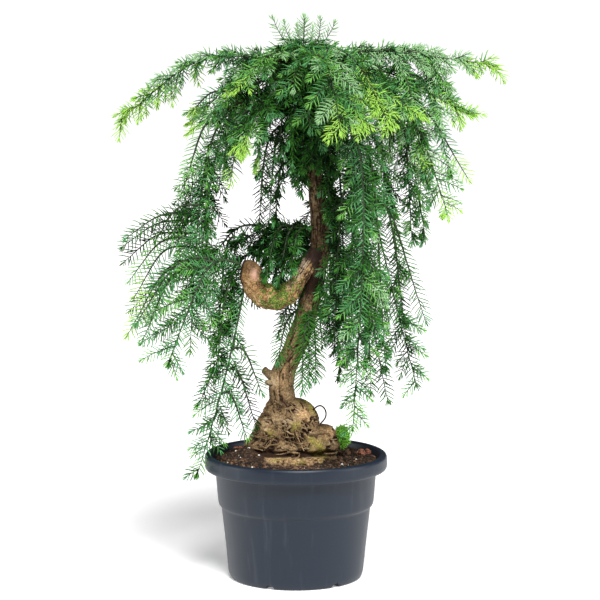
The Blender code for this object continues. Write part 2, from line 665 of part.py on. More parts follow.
def make_curl(material, trunk_cutter):
    """The curled bough: an arm from the trunk down to the bend's lowest point, and the end that turns up."""
    path = curl_path()
    shares = path_shares(path)
    ways = np.gradient(path, axis=0)
    length = float(np.linalg.norm(np.diff(path, axis=0), axis=1).sum())
    turn = np.degrees(np.arctan2(*(path - CURL_MIDDLE)[-CURL_ARC_POINTS:, [2, 0]].T)) % 360
    split = float(np.interp(-CURL_SPLIT, -turn, shares[-CURL_ARC_POINTS:]))
    half_gap = GAP / 2 / length
    pieces = []
    stretches = {"curled_bough_arm": (0, split - half_gap), "curled_bough_end": (split + half_gap, 1)}
    for name, (start, stop) in stretches.items():
        between = shares[(shares > start + 0.03) & (shares < stop - 0.02)]
        marks = np.concatenate([[start], between, [stop]])
        line = np.column_stack([np.interp(marks, shares, column) for column in path.T])
        way = np.column_stack([np.interp(marks, shares, column) for column in ways.T])
        shape = tube(round_rings(line, curl_radii(marks), CURL_SIDES, FRONT, way))
        pieces.append(joined(name, [shape], material, [trunk_cutter]))
    return pieces


def inflated(target, by):
    """A cutter: the object's shape with every point moved out along its normal."""
    mesh = target.data
    points = [v.co + v.normal * by for v in mesh.vertices]
    return cutter_of("cutter_" + target.name, (points, [tuple(p.vertices) for p in mesh.polygons]))


def make_bough(item, material, trunk_cutter):
    t = evenly(item, 0.0, 0.016)
    t = np.concatenate([t[t < item.bare - 0.02], [item.bare]])
    radii = item.bough * np.linspace(1.25, 0.8, len(t))
    shape = limb_tube(item, t, radii, BOUGH_SIDES)
    return joined("bough_" + item.name, [shape], material, [trunk_cutter])


def make_foliage(item, material, filled, cutters):
    blades, points = sprays(item, filled)
    joined("foliage_" + item.name, stem_and_tip(item) + blades, material, () if item.bough else cutters)
    return points


def main():
    for old in list(bpy.data.objects):
        bpy.data.objects.remove(old)
    plastic = finish("pot_plastic", (0.052, 0.070, 0.098), 0.5)
    peat = finish("peat", (0.045, 0.030, 0.022), 0.95)
    bark = finish("bark", (0.21, 0.13, 0.075), 0.85)
    needles = finish("needles", (0.035, 0.12, 0.055), 0.6)
    make_pot(plastic)
    make_soil(peat)
    make_trunk(bark)
    trunk_cutter = cutter_of("trunk_cutter", tube(trunk_rings(GAP)))
    curl = make_curl(bark, trunk_cutter)
    curl_cutter = inflated(curl[1], GAP)
    filled = np.zeros((0, 4))
    for item in LIMBS:
        if item.bough:
            make_bough(item, bark, trunk_cutter)
        parent = trunk_cutter if np.isscalar(item.root) else curl_cutter
        points = make_foliage(item, needles, filled, [parent])
        if points:
            rows = np.concatenate(points)
            filled = np.concatenate([filled, np.column_stack([rows, np.zeros(len(rows))])])
    joined("foliage_leader_tuft", tuft(), needles)
    for cutter in (trunk_cutter, curl_cutter):
        bpy.data.objects.remove(cutter)


main()
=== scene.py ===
"""The looks of a hoop pine bonsai in a nursery pot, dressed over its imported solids. Metres, +Z up, -Y is the
front. Every limb is grown again by the rule that shaped the solids, and carried on to twigs and needles.
"""

import math
import random
from collections import namedtuple

import bpy
import numpy as np
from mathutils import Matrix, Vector


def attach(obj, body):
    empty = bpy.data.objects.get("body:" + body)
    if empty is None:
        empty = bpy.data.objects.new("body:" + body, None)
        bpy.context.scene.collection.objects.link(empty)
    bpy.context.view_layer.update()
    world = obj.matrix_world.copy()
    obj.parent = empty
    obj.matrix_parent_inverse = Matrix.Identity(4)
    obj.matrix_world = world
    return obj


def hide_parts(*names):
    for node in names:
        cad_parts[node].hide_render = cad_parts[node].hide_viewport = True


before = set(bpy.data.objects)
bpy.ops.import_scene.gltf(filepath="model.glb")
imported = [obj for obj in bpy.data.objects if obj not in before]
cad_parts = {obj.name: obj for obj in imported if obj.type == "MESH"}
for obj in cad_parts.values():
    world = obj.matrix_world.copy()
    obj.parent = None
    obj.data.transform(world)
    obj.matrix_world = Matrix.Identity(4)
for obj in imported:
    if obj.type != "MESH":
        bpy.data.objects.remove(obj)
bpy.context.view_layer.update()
NODES = sorted(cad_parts)
BODY = "root"

UP = np.array([0.0, 0.0, 1.0])
FRONT = np.array([0.0, -1.0, 0.0])
TURN = 2 * math.pi
GOLDEN_ANGLE = math.pi * (3 - math.sqrt(5))

# ================================================================ studio

EYE = np.array([0.0056, -2.9, 0.72])
EYE_TILT = math.radians(90 - 6.96)
LENS = 134.6
SENSOR_WIDTH = 36
WHITE = 1.10
AMBIENT = 0.10
FLOOR_HALF = 8.0
FLOOR_GLOW = 0.30
SUN_POWER = 4.5
SUN_WIDTH = math.radians(22)
SUN_TURN = (math.radians(38), math.radians(10), 0)
LAMP_AIM = (0, 0, 0.25)
LAMP_SIZE = 0.8
LAMPS = {
    # name: (place, watts)
    "left_strip": ((-1.7, -0.3, 0.6), 11),
    "right_strip": ((1.8, -0.5, 0.7), 13),
}


def hang(name, data, place=(0, 0, 0), turn=(0, 0, 0)):
    """Puts a camera or a light in the scene."""
    made = bpy.data.objects.new(name, data)
    made.location = place
    made.rotation_euler = turn
    bpy.context.scene.collection.objects.link(made)
    return made


def make_camera():
    """A long lens in front, level with the top of the crown and tilted down."""
    lens = bpy.data.cameras.new("camera")
    lens.lens = LENS
    lens.sensor_width = SENSOR_WIDTH
    bpy.context.scene.camera = hang("camera", lens, EYE, (EYE_TILT, 0, 0))


def make_surroundings():
    """White to the camera, and dim as a light on everything else."""
    world = bpy.data.worlds.new("white_surroundings")
    world.use_nodes = True
    tree = world.node_tree
    rays = tree.nodes.new("ShaderNodeLightPath")
    power = tree.nodes.new("ShaderNodeMapRange")
    power.inputs["To Min"].default_value = AMBIENT
    power.inputs["To Max"].default_value = WHITE
    tree.links.new(rays.outputs["Is Camera Ray"], power.inputs["Value"])
    tree.links.new(power.outputs["Result"], tree.nodes["Background"].inputs["Strength"])
    tree.nodes["Background"].inputs["Color"].default_value = (1, 1, 1, 1)
    bpy.context.scene.world = world


def make_floor():
    """A wide square of pale paper under the pot, with a faint glow of its own."""
    half = FLOOR_HALF
    corners = np.array([(-half, -half, 0), (half, -half, 0), (half, half, 0), (-half, half, 0)])
    paper = Finish("floor_paper", base=(0.92, 0.92, 0.92), roughness=0.9)
    paper.set(**{"Emission Color": (1.0, 1.0, 1.0), "Emission Strength": FLOOR_GLOW})
    floor = mesh_of("floor", corners, np.array([(0, 1, 2, 3)]), paper, smooth=False)


def make_lights():
    """A broad sun from above and in front, and a weak lamp at each side, aimed at the trunk."""
    sun = bpy.data.lights.new("sun", "SUN")
    sun.energy = SUN_POWER
    sun.angle = SUN_WIDTH
    hang("sun", sun, turn=SUN_TURN)
    for name, (place, watts) in LAMPS.items():
        lamp = bpy.data.lights.new(name, "AREA")
        lamp.size = LAMP_SIZE
        lamp.energy = watts
        away = Vector(place) - Vector(LAMP_AIM)
        hang(name, lamp, place, away.to_track_quat("Z", "Y").to_euler())


def studio():
    """The camera, the white surroundings, the pale floor and the soft lights."""
    bpy.context.scene.view_settings.view_transform = "Standard"
    make_camera()
    make_surroundings()
    make_floor()
    make_lights()


# ================================================================ finishes


class Socket:
    """An output of a node. Sums, differences and products with it are Math nodes."""

    def __init__(self, finish, link):
        self.finish = finish
        self.link = link

    def math(self, operation, *others):
        return self.finish.node("ShaderNodeMath", {"operation": operation}, dict(enumerate((self, *others))))

    def __add__(self, other):
        return self.math("ADD", other)

    __radd__ = __add__

    def __mul__(self, other):
        return self.math("MULTIPLY", other)

    __rmul__ = __mul__

    def __sub__(self, other):
        return self.math("SUBTRACT", other)

    def __rsub__(self, other):
        return self.finish.node("ShaderNodeMath", {"operation": "SUBTRACT"}, {0: other, 1: self})

    def step(self, low, high):
        """0 below low, 1 above high, smooth between."""
        return self.finish.node("ShaderNodeMapRange", {"interpolation_type": "SMOOTHSTEP"},
                                {"Value": self, "From Min": low, "From Max": high})


class Finish:
    """A material: one Principled BSDF, whose constants are set on it and whose patterns are linked to it."""

    def __init__(self, name, base=(0.5, 0.5, 0.5), roughness=0.5, **constants):
        self.material = bpy.data.materials.new(name)
        self.material.use_nodes = True
        self.tree = self.material.node_tree
        self.shader = self.tree.nodes["Principled BSDF"]
        self.set(**{"Base Color": base, "Roughness": roughness}, **constants)

    def set(self, **inputs):
        """Sets or links inputs of the Principled BSDF."""
        self.fill(self.shader, inputs)

    def fill(self, node, inputs):
        """Gives a node's inputs their values or links."""
        for key, value in inputs.items():
            socket = node.inputs[key]
            if isinstance(value, Socket):
                self.tree.links.new(value.link, socket)
            elif isinstance(value, tuple) and len(value) == 3 and socket.type == "RGBA":
                socket.default_value = (*value, 1.0)
            else:
                socket.default_value = value

    def node(self, kind, settings=None, inputs=None, output=0):
        """Adds one node: its settings first, then the values or links of its inputs."""
        made = self.tree.nodes.new(kind)
        for key, value in (settings or {}).items():
            if key == "stops":
                ramp = made.color_ramp.elements
                while len(ramp) < len(value):
                    ramp.new(0.5)
                for stop, (place, colour) in zip(ramp, value):
                    stop.position = place
                    stop.color = (*colour, 1.0)
            else:
                setattr(made, key, value)
        self.fill(made, inputs or {})
        return Socket(self, made.outputs[output])

    def place(self):
        """Object coordinates."""
        return self.node("ShaderNodeTexCoord", output="Object")

    def stretched(self, scale):
        """Object coordinates, scaled along each axis."""
        return self.node("ShaderNodeMapping", inputs={"Vector": self.place(), "Scale": scale})

    def noise(self, scale, detail=4, rough=0.55, where=None):
        """Smooth noise from 0 to 1, on Object coordinates unless told otherwise."""
        inputs = {"Vector": where or self.place(), "Scale": scale, "Detail": detail, "Roughness": rough}
        return self.node("ShaderNodeTexNoise", inputs=inputs)

    def attribute(self, name):
        """A value stored on the mesh's points."""
        return self.node("ShaderNodeAttribute", {"attribute_name": name}, output="Fac")

    def mix(self, share, first, second):
        """A colour between two, by share."""
        return self.node("ShaderNodeMix", {"data_type": "RGBA"}, {"Factor": share, 6: first, 7: second},
                         output=2)

    def ramp(self, share, *stops):
        """A colour by share, from stops of a place and a colour."""
        return self.node("ShaderNodeValToRGB", {"stops": stops}, {"Fac": share})

    def bump(self, height, distance, strength=1.0):
        """Fine relief from a height pattern."""
        normal = self.node("ShaderNodeBump", inputs={"Height": height, "Distance": distance,
                                                     "Strength": strength})
        self.set(Normal=normal)


# ================================================================ shapes


def mesh_of(name, points, faces, finish, smooth=True, **attributes):
    """An object from an array of points and an array of faces that all have as many corners."""
    mesh = bpy.data.meshes.new(name)
    count, corners = faces.shape
    mesh.vertices.add(len(points))
    mesh.vertices.foreach_set("co", np.ascontiguousarray(points, np.float32).ravel())
    mesh.loops.add(count * corners)
    mesh.loops.foreach_set("vertex_index", np.ascontiguousarray(faces, np.int32).ravel())
    mesh.polygons.add(count)
    mesh.polygons.foreach_set("loop_start", np.arange(0, count * corners, corners, dtype=np.int32))
    mesh.polygons.foreach_set("use_smooth", np.full(count, smooth))
    for key, values in attributes.items():
        layer = mesh.attributes.new(key, "FLOAT", "POINT")
        layer.data.foreach_set("value", np.asarray(values, np.float32).ravel())
    mesh.update(calc_edges=True)
    mesh.validate()
    mesh.materials.append(finish.material)
    made = bpy.data.objects.new(name, mesh)
    bpy.context.scene.collection.objects.link(made)
    return made


def wrapped_faces(rings, sides, first=0):
    """Quads between rings of points that close on themselves."""
    ring, side = np.meshgrid(np.arange(rings - 1), np.arange(sides), indexing="ij")
    a = ring * sides + side
    b = ring * sides + (side + 1) % sides
    return np.stack([a, b, b + sides, a + sides], axis=-1).reshape(-1, 4) + first


def closed_tube(rings):
    """Points and quads of a tube whose ends are drawn in to a point: rings is (along, around, 3)."""
    low = np.repeat(rings[:1].mean(axis=1, keepdims=True), rings.shape[1], axis=1)
    high = np.repeat(rings[-1:].mean(axis=1, keepdims=True), rings.shape[1], axis=1)
    rings = np.concatenate([low, rings, high])
    return rings.reshape(-1, 3), wrapped_faces(*rings.shape[:2])


def joined_mesh(parts):
    """One set of points and faces from many."""
    starts = np.cumsum([0] + [len(points) for points, _ in parts[:-1]])
    points = np.concatenate([points for points, _ in parts])
    faces = np.concatenate([faces + start for start, (_, faces) in zip(starts, parts)])
    return points, faces


def units(vectors):
    """Vectors made one long."""
    return vectors / np.linalg.norm(vectors, axis=-1, keepdims=True)


def frames_along(path, across):
    """The ways along a path and two directions square to them, the first on the side of across."""
    ways = units(np.gradient(path, axis=0))
    first = units(across - ways * (ways @ across)[:, None])
    return ways, first, np.cross(ways, first)


def rings_along(path, radii, sides, across=FRONT):
    """Circles of the given radii square to a path."""
    _, first, second = frames_along(path, across)
    turn = np.linspace(0, TURN, sides, endpoint=False)[None, :, None]
    reach = first[:, None] * np.cos(turn) + second[:, None] * np.sin(turn)
    return path[:, None] + reach * np.broadcast_to(radii, len(path))[:, None, None]


def lattice(cells, seed):
    """A number from -1 to 1 for each whole-numbered cell, the same each time."""
    mixed = (cells[..., 0] * 73856093) ^ (cells[..., 1] * 19349663) ^ (cells[..., 2] * 83492791)
    mixed = (mixed ^ (seed * 2654435761)) & 0xFFFFFFFF
    mixed = ((mixed ^ (mixed >> 13)) * 1274126177) & 0xFFFFFFFF
    mixed = ((mixed ^ (mixed >> 16)) * 2246822519) & 0xFFFFFFFF
    return (mixed ^ (mixed >> 15)) / 2147483648.0 - 1.0


def grain(points, size, seed=0, octaves=1):
    """Smooth noise from about -1 to 1: the numbers at the corners of a lattice's cells, blended inside
    each cell. Each octave adds a lattice half as wide, at 0.55 of the strength."""
    total = np.zeros(points.shape[:-1])
    for octave in range(octaves):
        scaled = points * (2**octave / size)
        cell = np.floor(scaled).astype(np.int64)
        part = scaled - cell
        part = part * part * (3 - 2 * part)
        value = np.zeros(points.shape[:-1])
        for corner in np.ndindex(2, 2, 2):
            weight = np.prod(np.where(np.array(corner) == 1, part, 1 - part), axis=-1)
            value += weight * lattice(cell + np.array(corner), seed + octave)
        total += value * 0.55**octave
    return total


def flakes(points, size, seed=0):
    """Scales: each point belongs to the nearest of scattered seeds. Returns how much further away the second
    nearest is, which is nought on the edge between two scales, and a level from -1 to 1 for each scale."""
    scaled = points / np.asarray(size)
    home = np.floor(scaled).astype(np.int64)
    nearest = np.full(points.shape[:-1], 9.0)
    second = nearest.copy()
    level = np.zeros(points.shape[:-1])
    for offset in np.ndindex(3, 3, 3):
        cell = home + np.array(offset) - 1
        spot = np.stack([lattice(cell, seed + k) * 0.5 + 0.5 for k in range(3)], axis=-1)
        apart = np.linalg.norm(cell + spot - scaled, axis=-1)
        closer = apart < nearest
        second = np.where(closer, nearest, np.minimum(second, apart))
        level = np.where(closer, lattice(cell, seed + 7), level)
        nearest = np.where(closer, apart, nearest)
    return second - nearest, level


def dress(piece, slot, *nodes):
    """Says which body a piece rides on and which solids it stands for. slot is not used."""
    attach(piece, BODY)
    if nodes:
        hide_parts(*nodes)
    return piece


# ================================================================ pot

POT_HEIGHT = 0.164
POT_FOOT_RADIUS = 0.0865
POT_BODY_RADIUS = 0.098
POT_BAND_RADIUS = 0.1055
POT_RIM_RADIUS = 0.120
POT_STEP_HEIGHT = 0.097
POT_RIM_DEPTH = 0.021
POT_RIM_INNER_RADIUS = 0.1095
POT_WALL = 0.0024
POT_FLOOR = 0.003
DRAIN_COUNT = 6
DRAIN_RADIUS = 0.006
DRAIN_FIRST = math.radians(247)
DRAIN_LIFT = 0.0006
FOOT_RING_WIDTH = 0.0142
FOOT_RING_HEIGHT = 0.0085
POT_WAVER = 0.0004
POT_WAVER_FROM = 0.02
POT_SIDES = 288


def softened(corners, reach, steps=5):
    """A profile with rounded corners: each gives way to a short parabola between points on its two sides."""
    corners = np.array(corners)
    line = [corners[:1]]
    for before, corner, after in zip(corners, corners[1:], corners[2:]):
        back, ahead = before - corner, after - corner
        start = corner + back * min(0.45, reach / np.linalg.norm(back))
        stop = corner + ahead * min(0.45, reach / np.linalg.norm(ahead))
        s = np.linspace(0, 1, steps)[:, None]
        line.append((1 - s) ** 2 * start + 2 * s * (1 - s) * corner + s**2 * stop)
    return np.concatenate(line + [corners[-1:]])


def pot_profile():
    """The pot's section: from the middle of its underside up the outside, over the rim and down the
    inside."""
    step, rim, top = POT_STEP_HEIGHT, POT_HEIGHT - POT_RIM_DEPTH, POT_HEIGHT
    return softened(
        [
            (0.0, 0.0),
            (POT_FOOT_RADIUS - 0.0145, 0.0),
            (POT_FOOT_RADIUS - 0.0140, 0.0),
            (POT_FOOT_RADIUS - 0.002, 0.0),
            (POT_FOOT_RADIUS + 0.0004, 0.0015),
            (POT_FOOT_RADIUS + 0.0025, 0.008),
            (POT_FOOT_RADIUS + 0.0055, 0.040),
            (POT_BODY_RADIUS, step - 0.003),
            (POT_BAND_RADIUS - 0.004, step + 0.0005),
            (POT_BAND_RADIUS - 0.003, step + 0.006),
            (POT_BAND_RADIUS, rim - 0.003),
            (POT_BAND_RADIUS + 0.001, rim),
            (POT_RIM_RADIUS - 0.002, rim + 0.0008),
            (POT_RIM_RADIUS, rim + 0.005),
            (POT_RIM_RADIUS - 0.0004, top - 0.0035),
            (POT_RIM_RADIUS - 0.0022, top - 0.0004),
            (POT_RIM_RADIUS - 0.0050, top),
            (POT_RIM_INNER_RADIUS + 0.0015, top - 0.0008),
            (POT_RIM_INNER_RADIUS, top - 0.005),
            (POT_BAND_RADIUS - POT_WALL, rim),
            (POT_BAND_RADIUS - 0.003 - POT_WALL, step + 0.008),
            (POT_BODY_RADIUS - POT_WALL, step - 0.002),
            (POT_FOOT_RADIUS - POT_WALL, POT_FLOOR),
            (0.0, POT_FLOOR),
        ],
        reach=0.0028,
    )


def make_pot():
    """The profile turned about Z. On the ring that the pot stands on, the height is lifted over each drain
    notch by half a circle. Above it the radius wavers a little."""
    radius, height = pot_profile().T
    turn = np.linspace(0, TURN, POT_SIDES, endpoint=False)
    radius, height = np.broadcast_arrays(radius[:, None], height[:, None] + 0 * turn)
    pitch = TURN / DRAIN_COUNT
    across = ((turn - DRAIN_FIRST + pitch / 2) % pitch - pitch / 2) * POT_FOOT_RADIUS
    arch = np.sqrt(np.clip(DRAIN_RADIUS**2 - across**2, 0, None)) + DRAIN_LIFT * (abs(across) < DRAIN_RADIUS)
    under = (radius > POT_FOOT_RADIUS - FOOT_RING_WIDTH) & (height < FOOT_RING_HEIGHT)
    outside = np.arange(len(radius))[:, None] < len(radius) // 2
    height = np.where(under & outside, np.maximum(height, arch * 0.98), height)
    ring = np.stack([np.cos(turn) * 3, np.sin(turn) * 3, 0 * turn], axis=-1)
    radius = radius + POT_WAVER * grain(ring, 1.0, 5) * (height > POT_WAVER_FROM)
    rings = np.stack([radius * np.cos(turn), radius * np.sin(turn), height], axis=-1)
    faces = wrapped_faces(len(rings), POT_SIDES)
    return dress(mesh_of("pot_shell", rings.reshape(-1, 3), faces, pot_plastic()), "pot", "pot")


def pot_plastic():
    """Slate blue plastic with a soft sheen: paler in upright streaks, with specks of soil, mostly high up."""
    f = Finish("pot_plastic", roughness=0.42)
    f.set(**{"Specular IOR Level": 0.38})
    cloud = f.noise(9, 5)
    fine = f.noise(900, 2)
    streak = f.noise(1, 3, where=f.stretched((90, 90, 6)))
    height = f.node("ShaderNodeSeparateXYZ", inputs={"Vector": f.place()}, output="Z")
    specks = f.noise(420, 2, 0.6).step(0.66, 0.72)
    few = f.noise(38, 3, 0.6).step(0.50, 0.62)
    high = height.step(0.085, 0.135) * 0.8 + 0.2
    dirt = specks * few * high
    base = f.mix(cloud, (0.0040, 0.0096, 0.0200), (0.0068, 0.0140, 0.0270))
    base = f.mix(streak.step(0.52, 0.80) * 0.35, base, (0.045, 0.056, 0.074))
    base = f.mix(fine.step(0.60, 0.85) * 0.12, base, (0.12, 0.14, 0.16))
    base = f.mix(dirt, base, (0.012, 0.010, 0.009))
    f.set(**{"Base Color": base, "Roughness": 0.36 + cloud * 0.18 + dirt * 0.3})
    f.bump(fine * 0.3 + dirt * 1.2 + cloud * 0.2, 0.0004, 0.5)
    return f


# ================================================================ trunk

SOIL_TOP = 0.157
TRUNK_BENDS = np.array([
    # height, x, y
    (0.140, -0.002, 0.000),
    (0.185, -0.010, 0.002),
    (0.234, -0.0172, 0.002),
    (0.262, -0.0185, 0.003),
    (0.307, 0.0004, 0.006),
    (0.345, 0.0134, 0.010),
    (0.392, 0.0250, 0.012),
    (0.435, 0.0310, 0.008),
    (0.500, 0.0275, 0.002),
    (0.600, 0.0135, 0.000),
    (0.696, 0.0075, 0.000),
])
TRUNK_TOP = 0.696
TRUNK_FOOT_RADIUS = 0.0172
TRUNK_TIP_RADIUS = 0.0028
TRUNK_TAPER_FROM = 0.235
TRUNK_TAPER_POWER = 0.75
FLARE_RADIUS = 0.010
FLARE_HEIGHT = 0.085
FLARE_LIMIT = 1.15
Root = namedtuple("Root", "heading reach spread height")
ROOTS = [
    Root(188, 0.042, 30, 0.078),
    Root(236, 0.015, 24, 0.050),
    Root(284, 0.011, 26, 0.045),
    Root(20, 0.018, 26, 0.050),
    Root(64, 0.024, 28, 0.060),
    Root(108, 0.028, 26, 0.055),
    Root(150, 0.018, 22, 0.045),
]
ROOT_SLOPE = 0.9
Knob = namedtuple("Knob", "middle half_sizes")
KNOBS = [
    Knob((0.0030, -0.007, 0.201), (0.0270, 0.023, 0.037)),
    Knob((0.0400, -0.010, 0.176), (0.0150, 0.017, 0.028)),
    Knob((0.0220, -0.014, 0.172), (0.0200, 0.019, 0.026)),
]
KNOB_BLEND = 0.005
LIP_ROOT_HEADINGS = (196, 346)
LIP_ROOT_RADII = (0.037, 0.040)
LIP_ROOT_BOW = 0.010
LIP_ROOT_THICKNESS = 0.0085
STUB_ROOT_HEIGHT = 0.250
STUB_REACH = 0.024
STUB_RISE = 0.025
STUB_RADIUS = 0.0062
TRUNK_SIDES = 168
FOOT_RINGS = 190
UPPER_RINGS = 400
FOOT_TOP = 0.260
TRUNK_SUNK = 0.004


def trunk_axis(heights):
    """Points on the trunk's axis: a cubic through the bends, with each bend's slope set by its neighbours."""
    heights = np.asarray(heights, float)
    knots, offsets = TRUNK_BENDS[:, 0], TRUNK_BENDS[:, 1:]
    slopes = np.gradient(offsets, knots, axis=0)
    k = np.clip(np.searchsorted(knots, heights, side="right") - 1, 0, len(knots) - 2)
    span = (knots[k + 1] - knots[k])[..., None]
    u = (heights - knots[k])[..., None] / span
    across = (
        (2 * u**3 - 3 * u**2 + 1) * offsets[k]
        + (u**3 - 2 * u**2 + u) * span * slopes[k]
        + (3 * u**2 - 2 * u**3) * offsets[k + 1]
        + (u**3 - u**2) * span * slopes[k + 1]
    )
    return np.concatenate([across, heights[..., None]], axis=-1)


def trunk_radius(heights):
    """The girth without the roots: a tapering power of the height left to the tip."""
    left = np.clip((TRUNK_TOP - heights) / (TRUNK_TOP - TRUNK_TAPER_FROM), 0, 1)
    return TRUNK_TIP_RADIUS + (TRUNK_FOOT_RADIUS - TRUNK_TIP_RADIUS) * left**TRUNK_TAPER_POWER


def flare(heights, headings):
    """What the foot adds to the radius: a skirt all round and a ridge for each root, both fading upwards."""
    low = np.clip(1 - (heights - SOIL_TOP) / FLARE_HEIGHT, 0, FLARE_LIMIT)
    added = FLARE_RADIUS * low**2
    for root in ROOTS:
        low = np.clip(1 - (heights - SOIL_TOP) / root.height, 0, FLARE_LIMIT)
        off = (headings - root.heading + 180) % 360 - 180
        added = added + root.reach * np.exp(-((off / root.spread) ** 2)) * low**ROOT_SLOPE
    return added


def soft_max(a, b, width):
    """The larger of two, blended where they are within width of each other."""
    near = np.clip(width - abs(a - b), 0, None)
    return np.maximum(a, b) + near**2 / (4 * width)


def foot_radius(heights, headings):
    """The radius of trunk, flare and swellings, each where a level ray from the axis leaves it."""
    radius = trunk_radius(heights) + flare(heights, headings)
    axis = trunk_axis(heights)
    way = np.stack([np.cos(np.radians(headings)), np.sin(np.radians(headings))], axis=-1)
    for middle, half in KNOBS:
        half = np.array(half)
        flat = way / half[:2]
        offset = (axis[..., :2] - middle[:2]) / half[:2]
        rise = (heights - middle[2]) / half[2]
        a = (flat**2).sum(-1)
        b = (flat * offset).sum(-1)
        c = (offset**2).sum(-1) + rise**2 - 1
        inside = b * b - a * c
        reach = np.where(inside > 0, (-b + np.sqrt(np.clip(inside, 0, None))) / a, 0)
        radius = soft_max(radius, reach, KNOB_BLEND)
    return radius


# Lumps and hollows of the foot: middle, size, and how far out its skin moves there
FOOT_LUMPS = [
    ((0.0110, -0.0263, 0.2190), 0.0085, 0.0034), ((-0.0040, -0.0220, 0.2265), 0.0058, -0.0060),
    ((0.0130, -0.0290, 0.2030), 0.0062, -0.0070), ((0.0215, -0.0280, 0.1960), 0.0050, -0.0060),
    ((-0.0090, -0.0260, 0.1880), 0.0062, -0.0065), ((0.0020, -0.0295, 0.2055), 0.0058, 0.0034),
    ((0.0281, -0.0311, 0.1785), 0.0085, 0.0045), ((0.0441, -0.0226, 0.1931), 0.0095, 0.0026),
    ((-0.0250, -0.0139, 0.2120), 0.0065, 0.0040), ((-0.0380, -0.0180, 0.2000), 0.0065, 0.0034),
    ((-0.0323, -0.0257, 0.1781), 0.0075, -0.0040), ((-0.0183, -0.0147, 0.2443), 0.0050, 0.0022),
    ((-0.0150, -0.0250, 0.2050), 0.0060, -0.0045), ((0.0051, -0.0284, 0.1876), 0.0060, -0.0050),
    ((-0.0230, -0.0240, 0.1930), 0.0055, 0.0036), ((-0.0430, -0.0147, 0.1850), 0.0060, -0.0040),
]
# Bare faces of paler wood on the foot: middle and size
FOOT_PLATES = [((0.0110, -0.0263, 0.2180), 0.0110), ((0.0441, -0.0226, 0.1931), 0.0100)]
# The band of the trunk whose bark has come off in strips
BARE_BAND_HEIGHT = 0.296
BARE_BAND_SPAN = 0.036
# Patches of moss on the trunk and the foot: middle and size
MOSS_SPOTS = [
    ((0.014, -0.008, 0.336), 0.011), ((0.001, -0.031, 0.203), 0.009), ((0.024, -0.014, 0.226), 0.010),
    ((0.016, -0.012, 0.238), 0.010), ((0.028, -0.032, 0.178), 0.013), ((0.034, -0.030, 0.168), 0.010),
    ((-0.034, -0.022, 0.192), 0.008), ((0.004, -0.020, 0.240), 0.008), ((0.020, -0.030, 0.186), 0.008),
]
# The relief of the bark, on the trunk and on the foot
FOOT_RELIEF_HEIGHT = 0.11
FISSURE_DEPTH = 0.0011
ROUGHNESS = 0.0005
LUMP_HEIGHT = 0.0007
FOOT_GNARL_HEIGHT = 0.0016
FOOT_LUMP_HEIGHT = 0.0022
# The groove over the root across the front: how far over the mix, how wide and how deep
GROOVE_RISE = 0.0105
GROOVE_WIDTH = 0.0035
GROOVE_DEPTH = 0.0070
# Painted shade on the bark: from this height up, under the crown, and a painted shadow of the curled bough on
# the front
CROWN_SHADE_FROM = 0.345
CROWN_SHADE_SPAN = 0.03
BOUGH_SHADOW_HEIGHT = 0.3870
BOUGH_SHADOW_SPAN = 0.014


def foot_lumps(surface):
    """How far the lumps and hollows of the foot move its skin out: for each, a bell of the distance to it."""
    moved = np.zeros(surface.shape[:-1])
    for spot, size, rise in FOOT_LUMPS:
        moved += rise * np.exp(-(((surface - np.array(spot)) ** 2).sum(-1) / size**2))
    return moved


def bark_relief(surface, around, heights):
    """Bark on a surface. On the trunk fissures run where a noise that is stretched upwards is near nought,
    and the foot has gnarled ridges where another is, with its own lumps and hollows. Returns how far out
    each point moves and how much painted shade it has: mostly in its crack, and also in the low parts of
    the foot's gnarl, lumps and groove, on the trunk under the crown, and in a painted shadow of the
    curled bough on the front."""
    low = np.clip(1 - (heights - SOIL_TOP) / FOOT_RELIEF_HEIGHT, 0, 1)
    foot = np.clip((low - 0.25) / 0.25, 0, 1)
    upper = 0.35 + 0.65 * np.clip(trunk_radius(heights) / TRUNK_FOOT_RADIUS, 0, 1)
    warp = [grain(surface, size, seed) for size, seed in ((0.02, 11), (0.02, 12), (0.03, 13))]
    warp = np.stack(warp, -1) * 0.0035
    upright = np.stack([np.cos(around) * 0.0145, np.sin(around) * 0.0145, heights * 0.20], -1)
    fissure = grain(upright + warp * 0.7, 0.0045, 20, 2)
    crack = np.clip(1 - abs(fissure) / 0.20, 0, 1) ** 1.1
    rough = grain(surface, 0.0024, 30, 2)
    lumps = grain(surface, 0.011, 50, 3)
    gnarl = 1 - 2.4 * abs(grain(surface * np.array([1, 1, 0.6]) + warp * 1.4, 0.0085, 55, 2))
    front = np.clip(np.sin(around - math.pi) * 3, 0, 1)
    groove = front * np.exp(-(((heights - SOIL_TOP - GROOVE_RISE) / GROOVE_WIDTH) ** 2))
    spots = foot_lumps(surface) - GROOVE_DEPTH * groove
    out = -FISSURE_DEPTH * crack * (1 - foot) + ROUGHNESS * rough + LUMP_HEIGHT * lumps * (1 - foot)
    out = out * upper + (foot * (FOOT_GNARL_HEIGHT * gnarl + FOOT_LUMP_HEIGHT * lumps) + spots)
    # Painted shade: in the cracks, in the low parts of the foot's gnarl, lumps and roughness and in the
    # groove, on the trunk under the crown, and a painted shadow of the curled bough on the front
    hollow = crack * (1 - foot) * 0.8 + foot * np.clip(-0.75 * gnarl - 0.35 * lumps, 0, 1)
    hollow = hollow + np.clip(-spots / 0.0045, 0, 1) + np.clip(-rough * 0.35, 0, 1)
    hollow = hollow + 0.30 * np.clip((heights - CROWN_SHADE_FROM) / CROWN_SHADE_SPAN, 0, 1)
    hollow = hollow + 0.6 * front * np.exp(-(((heights - BOUGH_SHADOW_HEIGHT) / BOUGH_SHADOW_SPAN) ** 2))
    return out, np.clip(hollow, 0, 1)


